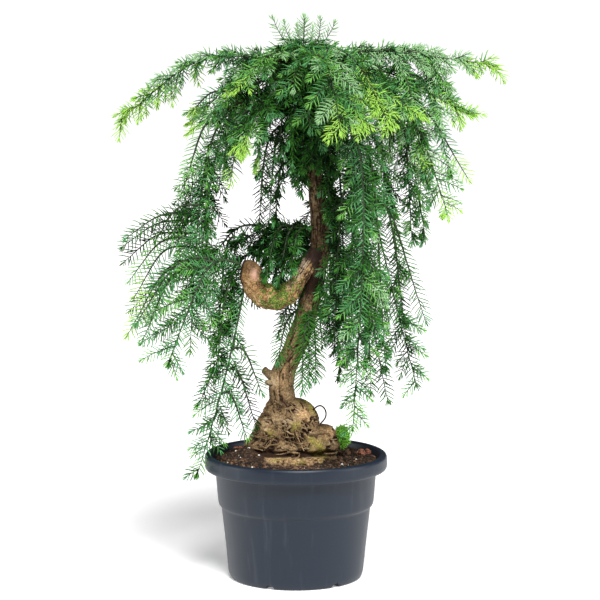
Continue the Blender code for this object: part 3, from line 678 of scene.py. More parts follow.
def plate_on(surface):
    """Where wood shows bare: round chosen spots on the foot, and in upright strips in a band of the trunk."""
    apart = [np.linalg.norm(surface - np.array(spot), axis=-1) / size for spot, size in FOOT_PLATES]
    foot = np.clip((1.0 + 0.35 * grain(surface, 0.005, 61, 2) - np.min(apart, axis=0)) * 2.5, 0, 1)
    strips = np.clip(0.45 + 1.1 * grain(surface * np.array([1, 1, 0.25]), 0.004, 62, 2), 0, 1)
    band = np.clip(1.6 - abs(surface[..., 2] - BARE_BAND_HEIGHT) / BARE_BAND_SPAN, 0, 1)
    return np.maximum(foot, strips * band * 0.9)


def moss_on(surface):
    """Where moss grows: soft patches round chosen spots, frayed by noise."""
    patch = np.zeros(surface.shape[:-1])
    for spot, size in MOSS_SPOTS:
        apart = np.linalg.norm(surface - np.array(spot), axis=-1)
        patch = np.maximum(patch, np.clip(1.25 - apart / size, 0, 1))
    return np.clip(patch * (0.75 + 0.6 * grain(surface, 0.004, 60, 2)), 0, 1)


def make_trunk():
    """The trunk: a ring of points at each height, out from the axis by the foot's radius and the bark, which
    fades towards the tip."""
    foot = np.linspace(SOIL_TOP - TRUNK_SUNK, FOOT_TOP, FOOT_RINGS)
    upper = np.linspace(FOOT_TOP, TRUNK_TOP - 0.001, UPPER_RINGS)[1:]
    headings = np.linspace(0, 360, TRUNK_SIDES, endpoint=False)
    level, heading = np.meshgrid(np.concatenate([foot, upper]), headings, indexing="ij")
    turn = np.radians(heading)
    way = np.stack([np.cos(turn), np.sin(turn), 0 * turn], axis=-1)
    radius = foot_radius(level, heading)
    surface = trunk_axis(level) + way * radius[..., None]
    out, hollow = bark_relief(surface, turn, level)
    out = out * np.clip((TRUNK_TOP - level) / 0.03, 0.1, 1)
    points, faces = closed_tube(surface + way * out[..., None])
    hollow = np.concatenate([hollow[:1], hollow, hollow[-1:]])
    marks = {"hollow": hollow, "moss": moss_on(points), "plate": plate_on(points)}
    return dress(mesh_of("trunk_bark", points, faces, bark(), **marks), "bark", "trunk")


ROOTLET_COUNT = 180
ROOTLETS_IN_FRONT = 131
ROOTLET_POINTS = 18
ROOTLET_SIDES = 6
ROOTLET_GIRTHS = (0.0005, 0.0016)
LOOP_ROOT = [
    (0.0225, -0.0150, 0.2234), (0.0278, -0.0150, 0.2286), (0.0330, -0.0150, 0.2300),
    (0.0382, -0.0150, 0.2253), (0.0402, -0.0150, 0.2181), (0.0382, -0.0150, 0.2115),
    (0.0317, -0.0150, 0.2048),
]
LOOP_ROOT_GIRTH = 0.0011
PALE_ROOT = [
    (-0.0009, -0.0325, 0.2001), (0.0017, -0.0350, 0.1926), (0.0056, -0.0365, 0.1837),
    (0.0108, -0.0400, 0.1738),
]
PALE_ROOT_GIRTHS = (0.0011, 0.0008)


def surface_spot(height, heading):
    """A point on the foot's skin, without its bark."""
    turn = math.radians(heading)
    radius = float(foot_radius(np.array([height]), np.array([heading]))[0])
    return trunk_axis(np.array([height]))[0] + radius * np.array([math.cos(turn), math.sin(turn), 0])


def curve_through(points, count):
    """A smooth path through a few points, in even steps of their own lengths."""
    points = np.array(points, float)
    along = np.concatenate([[0], np.cumsum(np.linalg.norm(np.diff(points, axis=0), axis=1))])
    path = np.array([np.interp(np.linspace(0, along[-1], count), along, column) for column in points.T]).T
    for _ in range(count // 5):
        path[1:-1] = (path[:-2] + 2 * path[1:-1] + path[2:]) / 4
    return path


def rootlet_path(rng, number):
    """The axis of a thin root on the foot's skin, wandering as it goes: every other one creeps round the
    foot, and the rest run down it. Those on the front stop over the groove."""
    front = number < ROOTLETS_IN_FRONT
    heading = rng.uniform(185, 355) if front else rng.uniform(0, 360)
    top = SOIL_TOP + (0.022 if front else 0.008) + 0.058 * rng.random() ** 1.2
    level = number % 2 == 0
    drop = rng.uniform(0.002, 0.010) if level else rng.uniform(0.010, 0.036)
    sweep = rng.choice((-1, 1)) * rng.uniform(16, 42) if level else rng.uniform(-20, 20)
    wander = rng.uniform(-7, 7)
    s = np.linspace(0, 1, ROOTLET_POINTS)
    heights = np.maximum(top - drop * s**1.2, SOIL_TOP + (0.018 if front else 0.0005))
    headings = [heading + sweep * t + wander * math.sin(7 * t) for t in s]
    path = np.array([surface_spot(*spot) for spot in zip(heights, headings)])
    return path + np.random.default_rng(number).normal(0, 0.0003, path.shape)


def make_rootlets():
    """Thin roots half sunk in the foot's skin, thickest in the middle. A dark one stands off the right
    swelling in a loop, and a pale one runs down the front."""
    rng = random.Random("rootlets")
    parts, shades = [], []
    for number in range(ROOTLET_COUNT):
        path = rootlet_path(rng, number)
        s = np.linspace(0, 1, ROOTLET_POINTS)
        girth = rng.uniform(*ROOTLET_GIRTHS) * (0.45 + 0.55 * np.sin(np.pi * np.clip(s * 0.9 + 0.08, 0, 1)))
        parts.append(closed_tube(rings_along(path, girth, ROOTLET_SIDES, UP)))
        shades.append(rng.choice((0.0, 0.0, 0.25, 0.5)))
    parts.append(closed_tube(rings_along(curve_through(LOOP_ROOT, 24), LOOP_ROOT_GIRTH, ROOTLET_SIDES)))
    shades.append(0.62)
    girth = np.linspace(*PALE_ROOT_GIRTHS, 16)
    parts.append(closed_tube(rings_along(curve_through(PALE_ROOT, 16), girth, ROOTLET_SIDES)))
    shades.append(0.0)
    points, faces = joined_mesh(parts)
    shade = np.repeat(shades, [len(part[0]) for part in parts])
    hollow = np.clip(shade + 0.5 * np.clip(grain(points, 0.006, 74, 2), 0, 1), 0, 1)
    marks = {"hollow": hollow, "moss": np.zeros(len(points))}
    return dress(mesh_of("rootlets", points, faces, bark("rootlet_bark", 0.75), **marks), "bark")


def make_lip_root():
    """The root across the front of the foot: a round bar on an arc about the trunk's axis, furthest out and
    thickest in its middle and sunk in the mix at both ends, with bark in long strips."""
    s = np.linspace(0, 1, 150)
    turn = np.radians(LIP_ROOT_HEADINGS[0] + (LIP_ROOT_HEADINGS[1] - LIP_ROOT_HEADINGS[0]) * s)
    out = LIP_ROOT_RADII[0] + (LIP_ROOT_RADII[1] - LIP_ROOT_RADII[0]) * s + LIP_ROOT_BOW * np.sin(s * math.pi)
    out = out + 0.0012 * np.sin(9 * s)
    away = np.stack([out * np.cos(turn), out * np.sin(turn), 0.0008 * np.sin(13 * s)], axis=1)
    path = trunk_axis(SOIL_TOP) + away
    girth = LIP_ROOT_THICKNESS * np.sqrt(np.sin(0.25 + (math.pi - 0.5) * s)) * (1 + 0.10 * np.sin(17 * s + 1))
    sides = 56
    rings = rings_along(path, girth, sides, UP)
    around = np.linspace(0, TURN, sides, endpoint=False)[None] + 0 * s[:, None]
    strips = np.stack([np.cos(around) * 0.008, np.sin(around) * 0.008, s[:, None] * 0.030 + 0 * around], -1)
    fissure = grain(strips, 0.0022, 45, 2)
    lumps = grain(rings, 0.008, 46, 2)
    move = 0.0010 * lumps - 0.0007 * np.clip(1 - abs(fissure) / 0.25, 0, 1)
    move = move + 0.0003 * grain(rings, 0.0022, 47)
    points, faces = closed_tube(rings + units(rings - path[:, None]) * move[..., None])
    # Painted shade in the fissures, less on the lumps
    crack_shade = np.clip(0.8 * np.clip(1 - abs(fissure) / 0.3, 0, 1) - 0.5 * lumps, 0, 1)
    crack_shade = np.concatenate([crack_shade[:1], crack_shade, crack_shade[-1:]])
    moss = np.clip(0.9 * grain(points, 0.009, 48, 2) - 0.15, 0, 1)
    marks = {"hollow": crack_shade, "moss": moss, "plate": np.full(len(points), 0.55)}
    return dress(mesh_of("lip_root", points, faces, bark("lip_root_bark", 0.9), **marks), "bark")


def make_stub():
    """The forked stub of a cut branch on the trunk's left: two rough bars from one root, with blunt ends."""
    root = trunk_axis(np.array([STUB_ROOT_HEIGHT]))[0]
    s = np.linspace(0, 1, 22)
    tip = np.array([-STUB_REACH, -0.004, STUB_RISE])
    fork = np.array([-STUB_REACH * 0.62 - 0.006, -0.014, STUB_RISE * 0.45 - 0.002])
    thick = np.interp(s, (0, 0.35, 0.8, 0.95, 1), (1.35, 1.0, 0.85, 0.8, 0.5))
    thin = np.interp(s, (0, 0.5, 0.9, 1), (1.1, 0.8, 0.6, 0.35))
    shapes = []
    for end, share in ((tip, thick), (fork, thin)):
        path = root + end * s[:, None] + UP * (0.002 * np.sin(s * math.pi))[:, None]
        rings = rings_along(path, STUB_RADIUS * share, 28)
        out = units(rings - rings.mean(axis=1, keepdims=True))
        rough = 0.0007 * grain(rings, 0.004, 70, 3) - 0.0006 * np.clip(grain(rings, 0.0025, 71), 0, 1)
        shapes.append(closed_tube(rings + out * rough[..., None]))
    points, faces = joined_mesh(shapes)
    marks = {"hollow": np.clip(grain(points, 0.003, 72, 2) * 0.7, 0, 1), "moss": np.zeros(len(points))}
    return dress(mesh_of("branch_stub", points, faces, bark("stub_bark", 0.5, 0.35), **marks), "bark")


def bark(name="trunk_bark", paleness=0.5, shade=0.0):
    """Bark: tan to brown, paler where bare, with mustard moss, and near black where its darkness mark is
    high: painted shade in the cracks and shaded spots of the trunk and the lip root, and a darker tone of
    their own on the rootlets, the stub and the limbs' wood. shade darkens it all."""
    f = Finish(name, roughness=0.85)
    f.set(**{"Specular IOR Level": 0.25})
    hollow = f.attribute("hollow")
    moss = f.attribute("moss")
    broad = f.noise(45, 4)
    fine = f.noise(520, 4, 0.65)
    grainy = f.noise(1, 4, 0.6, where=f.stretched((420, 420, 160)))
    plates = f.ramp(broad * 0.6 + fine * 0.4, (0.36, (0.045, 0.027, 0.012)), (0.45, (0.130, 0.080, 0.036)),
                    (0.53, (0.250, 0.162, 0.080)), (0.64, (0.460, 0.345, 0.205)))
    bare = f.ramp(fine, (0.36, (0.190, 0.105, 0.045)), (0.52, (0.420, 0.255, 0.115)),
                  (0.66, (0.640, 0.460, 0.260)))
    tone = f.mix(grainy.step(0.52, 0.72) * 0.6, plates, (0.040, 0.024, 0.012))
    tone = f.mix(fine.step(0.56, 0.72) * paleness * 0.6, tone, (0.56, 0.44, 0.29))
    tone = f.mix(f.attribute("plate") * 0.8, tone, bare)
    # Near black: painted shade on the trunk and the lip root, a darker tone of their own on the other pieces
    tone = f.mix(hollow.step(0.10, 0.75), tone, (0.024, 0.010, 0.004))
    green = f.ramp(fine, (0.35, (0.070, 0.070, 0.010)), (0.60, (0.330, 0.290, 0.045)))
    tone = f.mix(moss * 0.85, tone, green)
    f.set(**{"Base Color": f.mix(shade, tone, (0.014, 0.015, 0.006)) if shade else tone})
    f.bump(fine * 0.6 + grainy * 0.5, 0.0006, 0.7)
    return f


# ================================================================ limbs

# The curled bough: a hook that hangs in front of the trunk
CURL_ROOT_HEIGHT = 0.430
CURL_MIDDLE = np.array([-0.0270, -0.024, 0.4025])
CURL_BEND_RADIUS = 0.0300
CURL_ARC = (322, 160)
CURL_ARM_RADIUS = 0.0096
CURL_BELLY_RADIUS = 0.0168
CURL_KNOB_RADIUS = 0.0142

Limb = namedtuple(
    "Limb",
    "name root heading reach crest drop flick swerve bare outer inner roll fullest first bough young",
)


def limb(name, root, heading, reach, crest, drop, flick=0.5, swerve=0.0, bare=0.18, outer=0.040, inner=None,
         roll=15, fullest=0.5, first=0.55, bough=0.0030, young=1.0):
    """One limb. root is a height on the trunk, or a point. heading turns from +X to +Y in degrees. reach,
    crest and drop are how far out its tip is, how high it rises first and how far under its root it ends.
    flick is how much of its reach it keeps for its end, and swerve how far it turns to its left. bare is
    the share with no foliage. outer and inner are the lengths of its longest sprays on its two sides, or 0
    on a lone feather. roll turns those sides from level to upright, fullest is where the longest are, and
    first is the first one's length against them. bough is the bare wood's radius, or 0 where there is
    none. Sprays past young, a share of the limb, are new growth."""
    inner = outer if inner is None else inner
    return Limb(name, root, heading, reach, crest, drop, flick, swerve, bare, outer, inner, roll, fullest,
                first, bough, young)


CURL_TURN = math.radians(CURL_ARC[1])
CURL_END = CURL_MIDDLE + CURL_BEND_RADIUS * np.array([math.cos(CURL_TURN), 0, math.sin(CURL_TURN)])
KNOB_LOW = tuple(CURL_END + (-0.004, 0.003, -0.010))
KNOB_HIGH = tuple(CURL_END + (-0.003, -0.004, -0.004))
LIMBS = [
    limb("left_arch", 0.670, 184, 0.237, 0.0134, 0.072, flick=0.41, bare=0.12, outer=0.036, roll=32,
         fullest=0.4, bough=0.0026, young=0.66),
    limb("right_arch", 0.668, 356, 0.249, 0.020, -0.002, flick=0.70, bare=0.12, outer=0.038, roll=32,
         fullest=0.55, bough=0.0026, young=0.80),
    limb("left_second", 0.648, 197, 0.155, 0.004, 0.064, outer=0.030, roll=25, young=0.85),
    limb("left_third", 0.632, 226, 0.120, 0.004, 0.069, flick=0.4, outer=0.040, young=0.78),
    limb("front_left_high", 0.676, 222, 0.115, 0.010, 0.038, outer=0.034, roll=0, bough=0.0024, young=0.72),
    limb("front_fan", 0.670, 287, 0.160, 0.012, 0.080, flick=0.3, bare=0.16, outer=0.042, roll=0,
         fullest=0.55, bough=0.0024, young=0.76),
    limb("front_fan_mid", 0.6475, 301, 0.150, 0.010, 0.056, flick=0.4, outer=0.036, roll=0, fullest=0.55,
         young=0.72),
    limb("front_fan_right", 0.677, 318, 0.150, 0.012, 0.084, flick=0.4, outer=0.040, roll=0, fullest=0.55,
         bough=0.0022, young=0.46),
    limb("front_right_high", 0.639, 333, 0.165, 0.015, 0.032, outer=0.038, roll=10, young=0.80),
    limb("right_second", 0.654, 354, 0.215, 0.012, 0.048, bare=0.20, outer=0.048, roll=25, fullest=0.6,
         young=0.70),
    limb("right_curtain", 0.629, 347, 0.190, 0.010, 0.153, flick=0.25, bare=0.20, outer=0.046, inner=0.036,
         roll=70, bough=0.0034, young=0.85),
    limb("right_mid", 0.618, 12, 0.162, 0.006, 0.175, flick=0.15, bare=0.20, outer=0.036, inner=0.032,
         roll=60, bough=0.0034),
    limb("right_low", 0.590, 342, 0.149, 0.004, 0.331, flick=0.48, bare=0.16, outer=0.044, inner=0.046,
         roll=75, fullest=0.6, bough=0.0042),
    limb("right_column", 0.606, 322, 0.120, 0.007, 0.392, flick=0.04, swerve=-0.058, bare=0.16,
         outer=0.045, inner=0.040, roll=60, fullest=0.4, bough=0.0040),
    limb("right_inner", 0.540, 50, 0.055, 0.004, 0.285, flick=0.1, bare=0.12, outer=0.038, inner=0.030,
         roll=50, fullest=0.4, bough=0),
    limb("inner_left", 0.585, 196, 0.065, 0.008, 0.125, flick=0.1, outer=0.020, inner=0.022, roll=60,
         fullest=0.3, bough=0),
    limb("inner_left_b", 0.560, 222, 0.060, 0.004, 0.090, flick=0.1, bare=0.22, outer=0.020, inner=0.022,
         roll=60, fullest=0.3, bough=0),
    limb("left_curtain", 0.621, 187, 0.150, 0.010, 0.323, flick=0.1, bare=0.20, outer=0.062, inner=0.036,
         roll=80, fullest=0.74, first=0.26, bough=0.0040),
    limb("curl_top", 0.455, 190, 0.115, 0.007, 0.012, outer=0.030, roll=30, fullest=0.4),
    limb("left_tail", KNOB_LOW, 190, 0.070, 0.004, 0.262, flick=0.92, bare=0.06, outer=0.038, roll=80,
         bough=0),
    limb("left_fan_low", KNOB_HIGH, 205, 0.116, 0.014, 0.116, flick=0.45, bare=0.17, outer=0.080, inner=0.046,
         roll=112, fullest=0.45, first=0.75, bough=0),
    limb("under_curl", 0.354, 212, 0.046, 0.000, 0.068, flick=0.2, bare=0.10, outer=0, roll=-58, bough=0),
    limb("foot_spray", (0.0215, -0.0080, 0.3450), 239, 0.0257, 0.000, 0.0941, flick=0.1, bare=0.10, outer=0,
         roll=-32, bough=0),
    limb("back_high", 0.681, 97, 0.190, 0.006, 0.030, outer=0.048, roll=10, bough=0.0024, young=0.80),
    limb("back_left_high", 0.660, 142, 0.190, 0.012, 0.070, outer=0.048, roll=10, bough=0.0026, young=0.80),
    limb("back_right_high", 0.673, 45, 0.200, 0.012, 0.070, outer=0.048, roll=10, bough=0.0026, young=0.80),
    limb("back_left_curtain", 0.608, 155, 0.160, 0.008, 0.256, flick=0.15, bare=0.20, outer=0.055,
         inner=0.035, roll=60, bough=0.0036),
    limb("back_curtain", 0.588, 75, 0.125, 0.008, 0.240, flick=0.15, bare=0.20, outer=0.045, roll=50,
         bough=0.0036),
    limb("back_right_curtain", 0.600, 35, 0.158, 0.008, 0.276, flick=0.15, bare=0.20, outer=0.040,
         inner=0.045, roll=60, bough=0.0036),
]


def shoot(name, parent, share, tip, crest, outer, roll=None, flick=0.4, young=1.0):
    """A branch given by its tip. Its root is a share of the way along its parent or, where parent is None,
    on the trunk, and share is a height. With no roll it is a lone feather, its flat turned to the front."""
    root = trunk_axis(share) if parent is None else limb_points(BY_NAME[parent], share)[0]
    way = np.array(tip) - root
    turn = math.atan2(way[1], way[0])
    if roll is None:
        roll = math.degrees(math.atan2(math.cos(turn), -math.sin(turn)))
    return limb(name, tuple(root), math.degrees(turn), math.hypot(way[0], way[1]), crest,
                max(-way[2], 0.001 - crest), flick, bare=0.06, outer=outer, roll=roll, bough=0, young=young)


def limb_way(item):
    """Its level directions out and to its left."""
    turn = math.radians(item.heading)
    return np.array([math.cos(turn), math.sin(turn), 0]), np.array([-math.sin(turn), math.cos(turn), 0])


def limb_points(item, t):
    """Points on its axis, for t from 0 at the root to 1 at the tip: out it slows down, or keeps part of its
    reach for the end, and up it follows a thrown ball that rises to the crest and falls to the drop."""
    t = np.atleast_1d(t).astype(float)
    out, left = limb_way(item)
    away = item.reach * ((1 - item.flick) * (1 - (1 - t) ** 3) + item.flick * t**3)
    climb = 2 * item.crest + 2 * math.sqrt(item.crest * (item.crest + item.drop))
    rise = climb * t - (climb + item.drop) * t**2
    root = trunk_axis(item.root) if np.isscalar(item.root) else np.array(item.root)
    return root + away[:, None] * out + (item.swerve * t**2)[:, None] * left + rise[:, None] * UP


SHOOT_ROWS = [
    # name, parent, share of the parent, tip, crest, outer, and then roll, flick and young where they differ
    ("left_reach_b", "left_curtain", 0.74, (-0.2248, -0.010, 0.4363), 0.001, 0),
    ("left_reach_c", "left_curtain", 0.78, (-0.2150, -0.025, 0.3937), 0.002, 0),
    ("left_reach_d", "left_curtain", 0.70, (-0.1791, -0.035, 0.4478), 0.001, 0),
    ("left_reach_g", "left_curtain", 0.80, (-0.2102, -0.005, 0.3692), 0.002, 0, None, 0.4, 0.7),
    ("left_reach_m", "left_curtain", 0.72, (-0.2179, -0.030, 0.4499), 0.001, 0),
    ("left_reach_i", "left_curtain", 0.86, (-0.1907, 0.010, 0.3358), 0.004, 0),
    ("left_reach_j", "left_fan_low", 0.35, (-0.2155, -0.060, 0.3270), 0.004, 0, None, 0.4, 0.6),
    ("left_reach_k", "left_fan_low", 0.14, (-0.2121, -0.050, 0.3579), 0.004, 0),
    ("left_reach_l", "left_curtain", 0.77, (-0.2240, 0.010, 0.4147), 0.002, 0),
    ("left_reach_n", "left_fan_low", 0.24, (-0.2031, -0.070, 0.3438), 0.004, 0),
    ("left_reach_o", "left_fan_low", 0.45, (-0.1964, -0.060, 0.3192), 0.003, 0),
    ("left_side_a", "left_curtain", 0.42, (-0.1475, -0.020, 0.5032), 0.002, 0, None, 0.5),
    ("left_side_b", "left_curtain", 0.52, (-0.1153, -0.030, 0.4189), 0.002, 0.016, 60),
    ("left_inner", "curl_top", 0.85, (-0.0854, -0.010, 0.3279), 0.003, 0.014, -70, 0.2),
    ("left_inner_c", "curl_top", 0.95, (-0.1016, 0.005, 0.3100), 0.003, 0.026, 70, 0.3),
    ("left_inner_d", "left_tail", 0.10, (-0.1031, -0.030, 0.2732), 0.003, 0.026, 70, 0.3),
    ("left_tail_b", "left_tail", 0.66, (-0.0438, -0.020, 0.2466), 0.002, 0, None, 0.5),
    ("left_tail_c", "left_tail", 0.73, (-0.0517, -0.020, 0.2031), 0.002, 0, None, 0.5),
    ("left_tail_f", "left_tail", 0.80, (-0.0635, -0.020, 0.1872), 0.002, 0, None, 0.5),
    ("left_tail_e", "left_tail", 0.72, (-0.1258, -0.020, 0.2321), 0.002, 0, None, 0.5),
    ("curl_reach", "curl_top", 0.55, (-0.1153, 0.000, 0.4131), 0.004, 0.018, 40),
    ("curl_veil", "curl_top", 0.12, (-0.0256, 0.000, 0.4157), 0.006, 0.022, 20),
    ("curl_veil_b", "curl_top", 0.08, (-0.0075, 0.012, 0.4145), 0.005, 0.022, 20),
    ("curl_veil_c", "curl_top", 0.30, (-0.0440, 0.012, 0.4145), 0.005, 0.022, 20),
    ("curl_veil_d", "curl_top", 0.10, (-0.0307, -0.012, 0.3883), 0.006, 0.018, 20),
    ("crook_a", "curl_top", 0.24, (-0.0379, -0.046, 0.3987), 0.004, 0.016, 20, 0.3),
    ("crook_b", "curl_top", 0.14, (-0.0213, -0.046, 0.3909), 0.004, 0.014, 20, 0.3),
    ("crook_c", "curl_top", 0.08, (-0.0072, -0.044, 0.4049), 0.004, 0.014, 20, 0.3),
    ("crook_d", "curl_top", 0.34, (-0.0488, -0.010, 0.4220), 0.004, 0.018, 20, 0.3),
    ("behind_a", None, 0.444, (-0.0443, 0.028, 0.3917), 0.004, 0.026, 20),
    ("behind_b", None, 0.438, (-0.0234, 0.034, 0.3724), 0.004, 0.026, 20),
    ("behind_c", None, 0.43, (-0.0049, 0.030, 0.3703), 0.004, 0.022, 20),
    ("behind_d", None, 0.45, (-0.0600, 0.030, 0.4258), 0.004, 0.026, 20),
    ("behind_e", None, 0.446, (-0.0737, 0.050, 0.4105), 0.004, 0.024, 20),
    ("behind_f", None, 0.446, (-0.0336, 0.020, 0.4320), 0.004, 0.020, 20),
    ("inner_left_d", "inner_left", 0.12, (-0.0345, -0.010, 0.4636), 0.002, 0, None, 0.2),
    ("trunk_left", None, 0.380, (-0.0177, -0.020, 0.3449), 0.002, 0, None, 0.3),
    ("trunk_left_b", None, 0.368, (-0.0218, 0.004, 0.3207), 0.002, 0, None, 0.3),
    ("trunk_right", None, 0.392, (0.0393, -0.014, 0.3442), 0.002, 0.014, 40, 0.2),
    ("trunk_right_b", None, 0.372, (0.0461, 0.004, 0.3155), 0.002, 0.014, 40, 0.2),
    ("trunk_right_c", None, 0.360, (0.0345, 0.016, 0.3045), 0.002, 0, None, 0.2),
    ("foot_b", None, 0.350, (0.0173, -0.030, 0.2614), 0.001, 0, None, 0.1),
    ("foot_c", None, 0.350, (0.0263, -0.026, 0.2660), 0.001, 0, None, 0.1),
    ("left_cascade", "left_third", 0.30, (-0.0505, -0.040, 0.5379), 0.002, 0.018, 30, 0.4, 0.85),
    ("left_cascade_b", "left_second", 0.30, (-0.0765, -0.020, 0.5623), 0.002, 0.028, 30),
    ("left_cascade_c", "back_left_high", 0.35, (-0.0914, 0.040, 0.5394), 0.002, 0.026, 50),
    ("left_cascade_d", "left_third", 0.50, (-0.0678, -0.060, 0.5544), 0.002, 0.024, 30, 0.4, 0.60),
    ("left_cascade_e", "left_second", 0.45, (-0.0940, 0.000, 0.5250), 0.002, 0.020, 30, 0.3),
    ("left_cascade_f", "left_third", 0.62, (-0.0834, -0.050, 0.5207), 0.002, 0, None, 0.3, 0.8),
    ("left_arch_top_c", "left_arch", 0.10, (-0.1016, -0.020, 0.6898), 0.004, 0.014, 30, 0.5),
    ("left_arch_drop", "left_arch", 0.55, (-0.1257, 0.000, 0.6487), 0.001, 0, None, 0.4, 0.2),
    ("left_arch_drop_b", "left_arch", 0.70, (-0.1588, -0.010, 0.6234), 0.001, 0, None, 0.4, 0.2),
    ("left_hang", "left_second", 0.60, (-0.1353, -0.020, 0.6084), 0.003, 0.014, 30, 0.4, 0.7),
    ("right_arch_top", "right_arch", 0.08, (0.0975, -0.020, 0.6949), 0.005, 0.016, 30, 0.5),
    ("right_arch_top_b", "right_arch", 0.18, (0.1474, 0.010, 0.6895), 0.006, 0.014, 30, 0.5),
    ("right_arch_top_c", "right_arch", 0.05, (0.0703, 0.020, 0.6920), 0.004, 0.014, 30, 0.5),
    ("centre_fall", "front_fan", 0.14, (-0.0046, -0.035, 0.5401), 0.002, 0.028, 10, 0.2),
    ("centre_fall_b", "front_fan_mid", 0.12, (0.0209, -0.035, 0.5440), 0.002, 0.026, 10, 0.2),
    ("centre_fall_c", "left_third", 0.14, (-0.0200, -0.030, 0.5501), 0.002, 0.026, 10, 0.2),
    ("centre_fall_d", "front_right_high", 0.14, (0.0440, -0.030, 0.5347), 0.002, 0.028, 10, 0.2),
    ("centre_fall_e", "front_fan_right", 0.14, (0.0337, -0.035, 0.5631), 0.002, 0.026, 10, 0.2),
    ("centre_fall_f", None, 0.610, (0.0094, -0.026, 0.5345), 0.004, 0.022, 10, 0.2),
    ("centre_fall_g", None, 0.600, (0.0030, -0.018, 0.5198), 0.004, 0.018, 10, 0.2),
    ("centre_fall_h", None, 0.590, (0.0455, -0.020, 0.4658), 0.004, 0.020, 10, 0.2),
    ("centre_fall_i", None, 0.585, (0.0082, -0.016, 0.5029), 0.004, 0.014, 10, 0.1),
    ("right_shoulder", "right_second", 0.35, (0.1228, -0.010, 0.5489), 0.004, 0.030, 30, 0.3),
    ("right_shoulder_c", "right_second", 0.50, (0.1637, -0.040, 0.5405), 0.004, 0.020, 30, 0.4, 0.8),
    ("right_shoulder_e", "right_second", 0.50, (0.1707, -0.010, 0.5128), 0.003, 0.016, 40, 0.3),
    ("right_shoulder_f", "right_second", 0.60, (0.2010, 0.000, 0.5276), 0.003, 0.014, 40),
    ("right_veil_a", "right_column", 0.30, (0.0725, -0.035, 0.3573), 0.003, 0.030, 30, 0.2),
    ("right_veil_b", "right_low", 0.34, (0.0960, -0.030, 0.3306), 0.003, 0.026, 60, 0.3),
    ("right_veil_c", "back_curtain", 0.40, (0.0665, 0.040, 0.2890), 0.003, 0.032, 60, 0.2),
    ("right_veil_d", "right_mid", 0.45, (0.1515, 0.010, 0.4383), 0.003, 0.014, 60, 0.3),
    ("right_veil_f", "right_column", 0.42, (0.1157, -0.060, 0.2804), 0.003, 0.012, 60),
    ("right_veil_g", "right_low", 0.50, (0.0916, -0.010, 0.2832), 0.003, 0.032, 60, 0.2),
    ("right_veil_h", "right_column", 0.50, (0.0497, -0.020, 0.3005), 0.003, 0.028, 60, 0.2),
    ("right_veil_i", "right_low", 0.60, (0.1676, -0.040, 0.3424), 0.004, 0, None, 0.6),
    ("right_veil_m", "right_arch", 0.55, (0.1565, -0.020, 0.6339), 0.002, 0.022, 40),
    ("right_veil_n", "right_arch", 0.70, (0.1955, -0.010, 0.6387), 0.002, 0.026, 40, 0.5),
    ("right_veil_o", "right_curtain", 0.55, (0.2228, -0.020, 0.5238), 0.004, 0, None, 0.6, 0.7),
    ("right_veil_p", "right_arch", 0.62, (0.1814, 0.010, 0.6356), 0.002, 0.016, 40),
    ("right_veil_s", "right_arch", 0.68, (0.1995, -0.010, 0.6285), 0.002, 0.024, 40),
    ("right_veil_q", "right_column", 0.60, (0.0679, -0.020, 0.2821), 0.003, 0.018, 60, 0.2),
    ("right_veil_r", "right_low", 0.60, (0.1440, 0.000, 0.3160), 0.004, 0),
    ("right_column_b", "right_column", 0.75, (0.1185, -0.060, 0.2415), 0.002, 0, None, 0.8),
    ("right_column_c", "right_column", 0.70, (0.0976, -0.030, 0.2469), 0.002, 0, None, 0.5),
]
COLLAR_COUNT = 20
COLLAR_TOP = 0.6925
COLLAR_STEP = 0.0034
COLLAR_TURN = 137.5


def collar_limb(number):
    """One of the short limbs in a collar round the trunk's tip: each is lower, turned on and hangs more."""
    height = COLLAR_TOP - COLLAR_STEP * number
    return limb(f"collar_{number}", height, 15 + COLLAR_TURN * number, 0.056, 0.0045, 0.008 + 0.003 * number,
                flick=0.35, bare=0.10, outer=0.026, roll=8, bough=0)


BY_NAME = {item.name: item for item in LIMBS}
SHOOTS = [shoot(*row) for row in SHOOT_ROWS]
SHOOTS += [collar_limb(number) for number in range(COLLAR_COUNT)]


def evenly(item, start, spacing):
    """Values of t from start to 1 whose points lie evenly along it, about spacing apart."""
    t = np.linspace(start, 1, 200)
    steps = np.linalg.norm(np.diff(limb_points(item, t), axis=0), axis=1)
    along = np.concatenate([[0], np.cumsum(steps)])
    count = max(2, round(along[-1] / spacing))
    return np.interp(np.linspace(0, along[-1], count + 1), along, t)


WOOD_STEP = 0.0022
WOOD_SIDES = 10
WOOD_PAST_BARE = 0.16
WOOD_TIP_RADIUS = 0.0018


def make_limb_wood():
    """Each limb's wood from inside the trunk to its first sprays: a round path of falling girth, whose
    bark loses its relief where the needles begin."""
    parts = []
    for item in LIMBS:
        if not item.bough:
            continue
        end = item.bare + WOOD_PAST_BARE
        t = evenly(item, 0.0, WOOD_STEP)
        t = t[t < end]
        thick = item.bough
        girth = np.interp(t, (0, 0.06, item.bare, end), (thick * 1.5, thick * 1.08, thick, WOOD_TIP_RADIUS))
        rings = rings_along(limb_points(item, t), girth, WOOD_SIDES, limb_way(item)[1])
        middle = rings.mean(axis=1, keepdims=True)
        rough = grain(rings, 0.0045, 90, 2) * 0.18 + grain(rings, 0.0016, 91) * 0.10
        fade = np.interp(t, (0, item.bare, item.bare + 0.2), (1, 1, 0.2))[:, None]
        parts.append(closed_tube(middle + (rings - middle) * (1 + rough * fade)[..., None]))
    points, faces = joined_mesh(parts)
    marks = {"hollow": np.clip(grain(points, 0.004, 92, 2), 0, 1), "moss": np.zeros(len(points))}
    # The limbs' bark is darkened all over as painted shade of the crown they lie in
    wood = mesh_of("limb_wood", points, faces, bark("limb_bark", 0.2, 0.7), **marks)
    dress(wood, "bark", *[name for name in NODES if name.startswith("bough_")])


# ================================================================ foliage

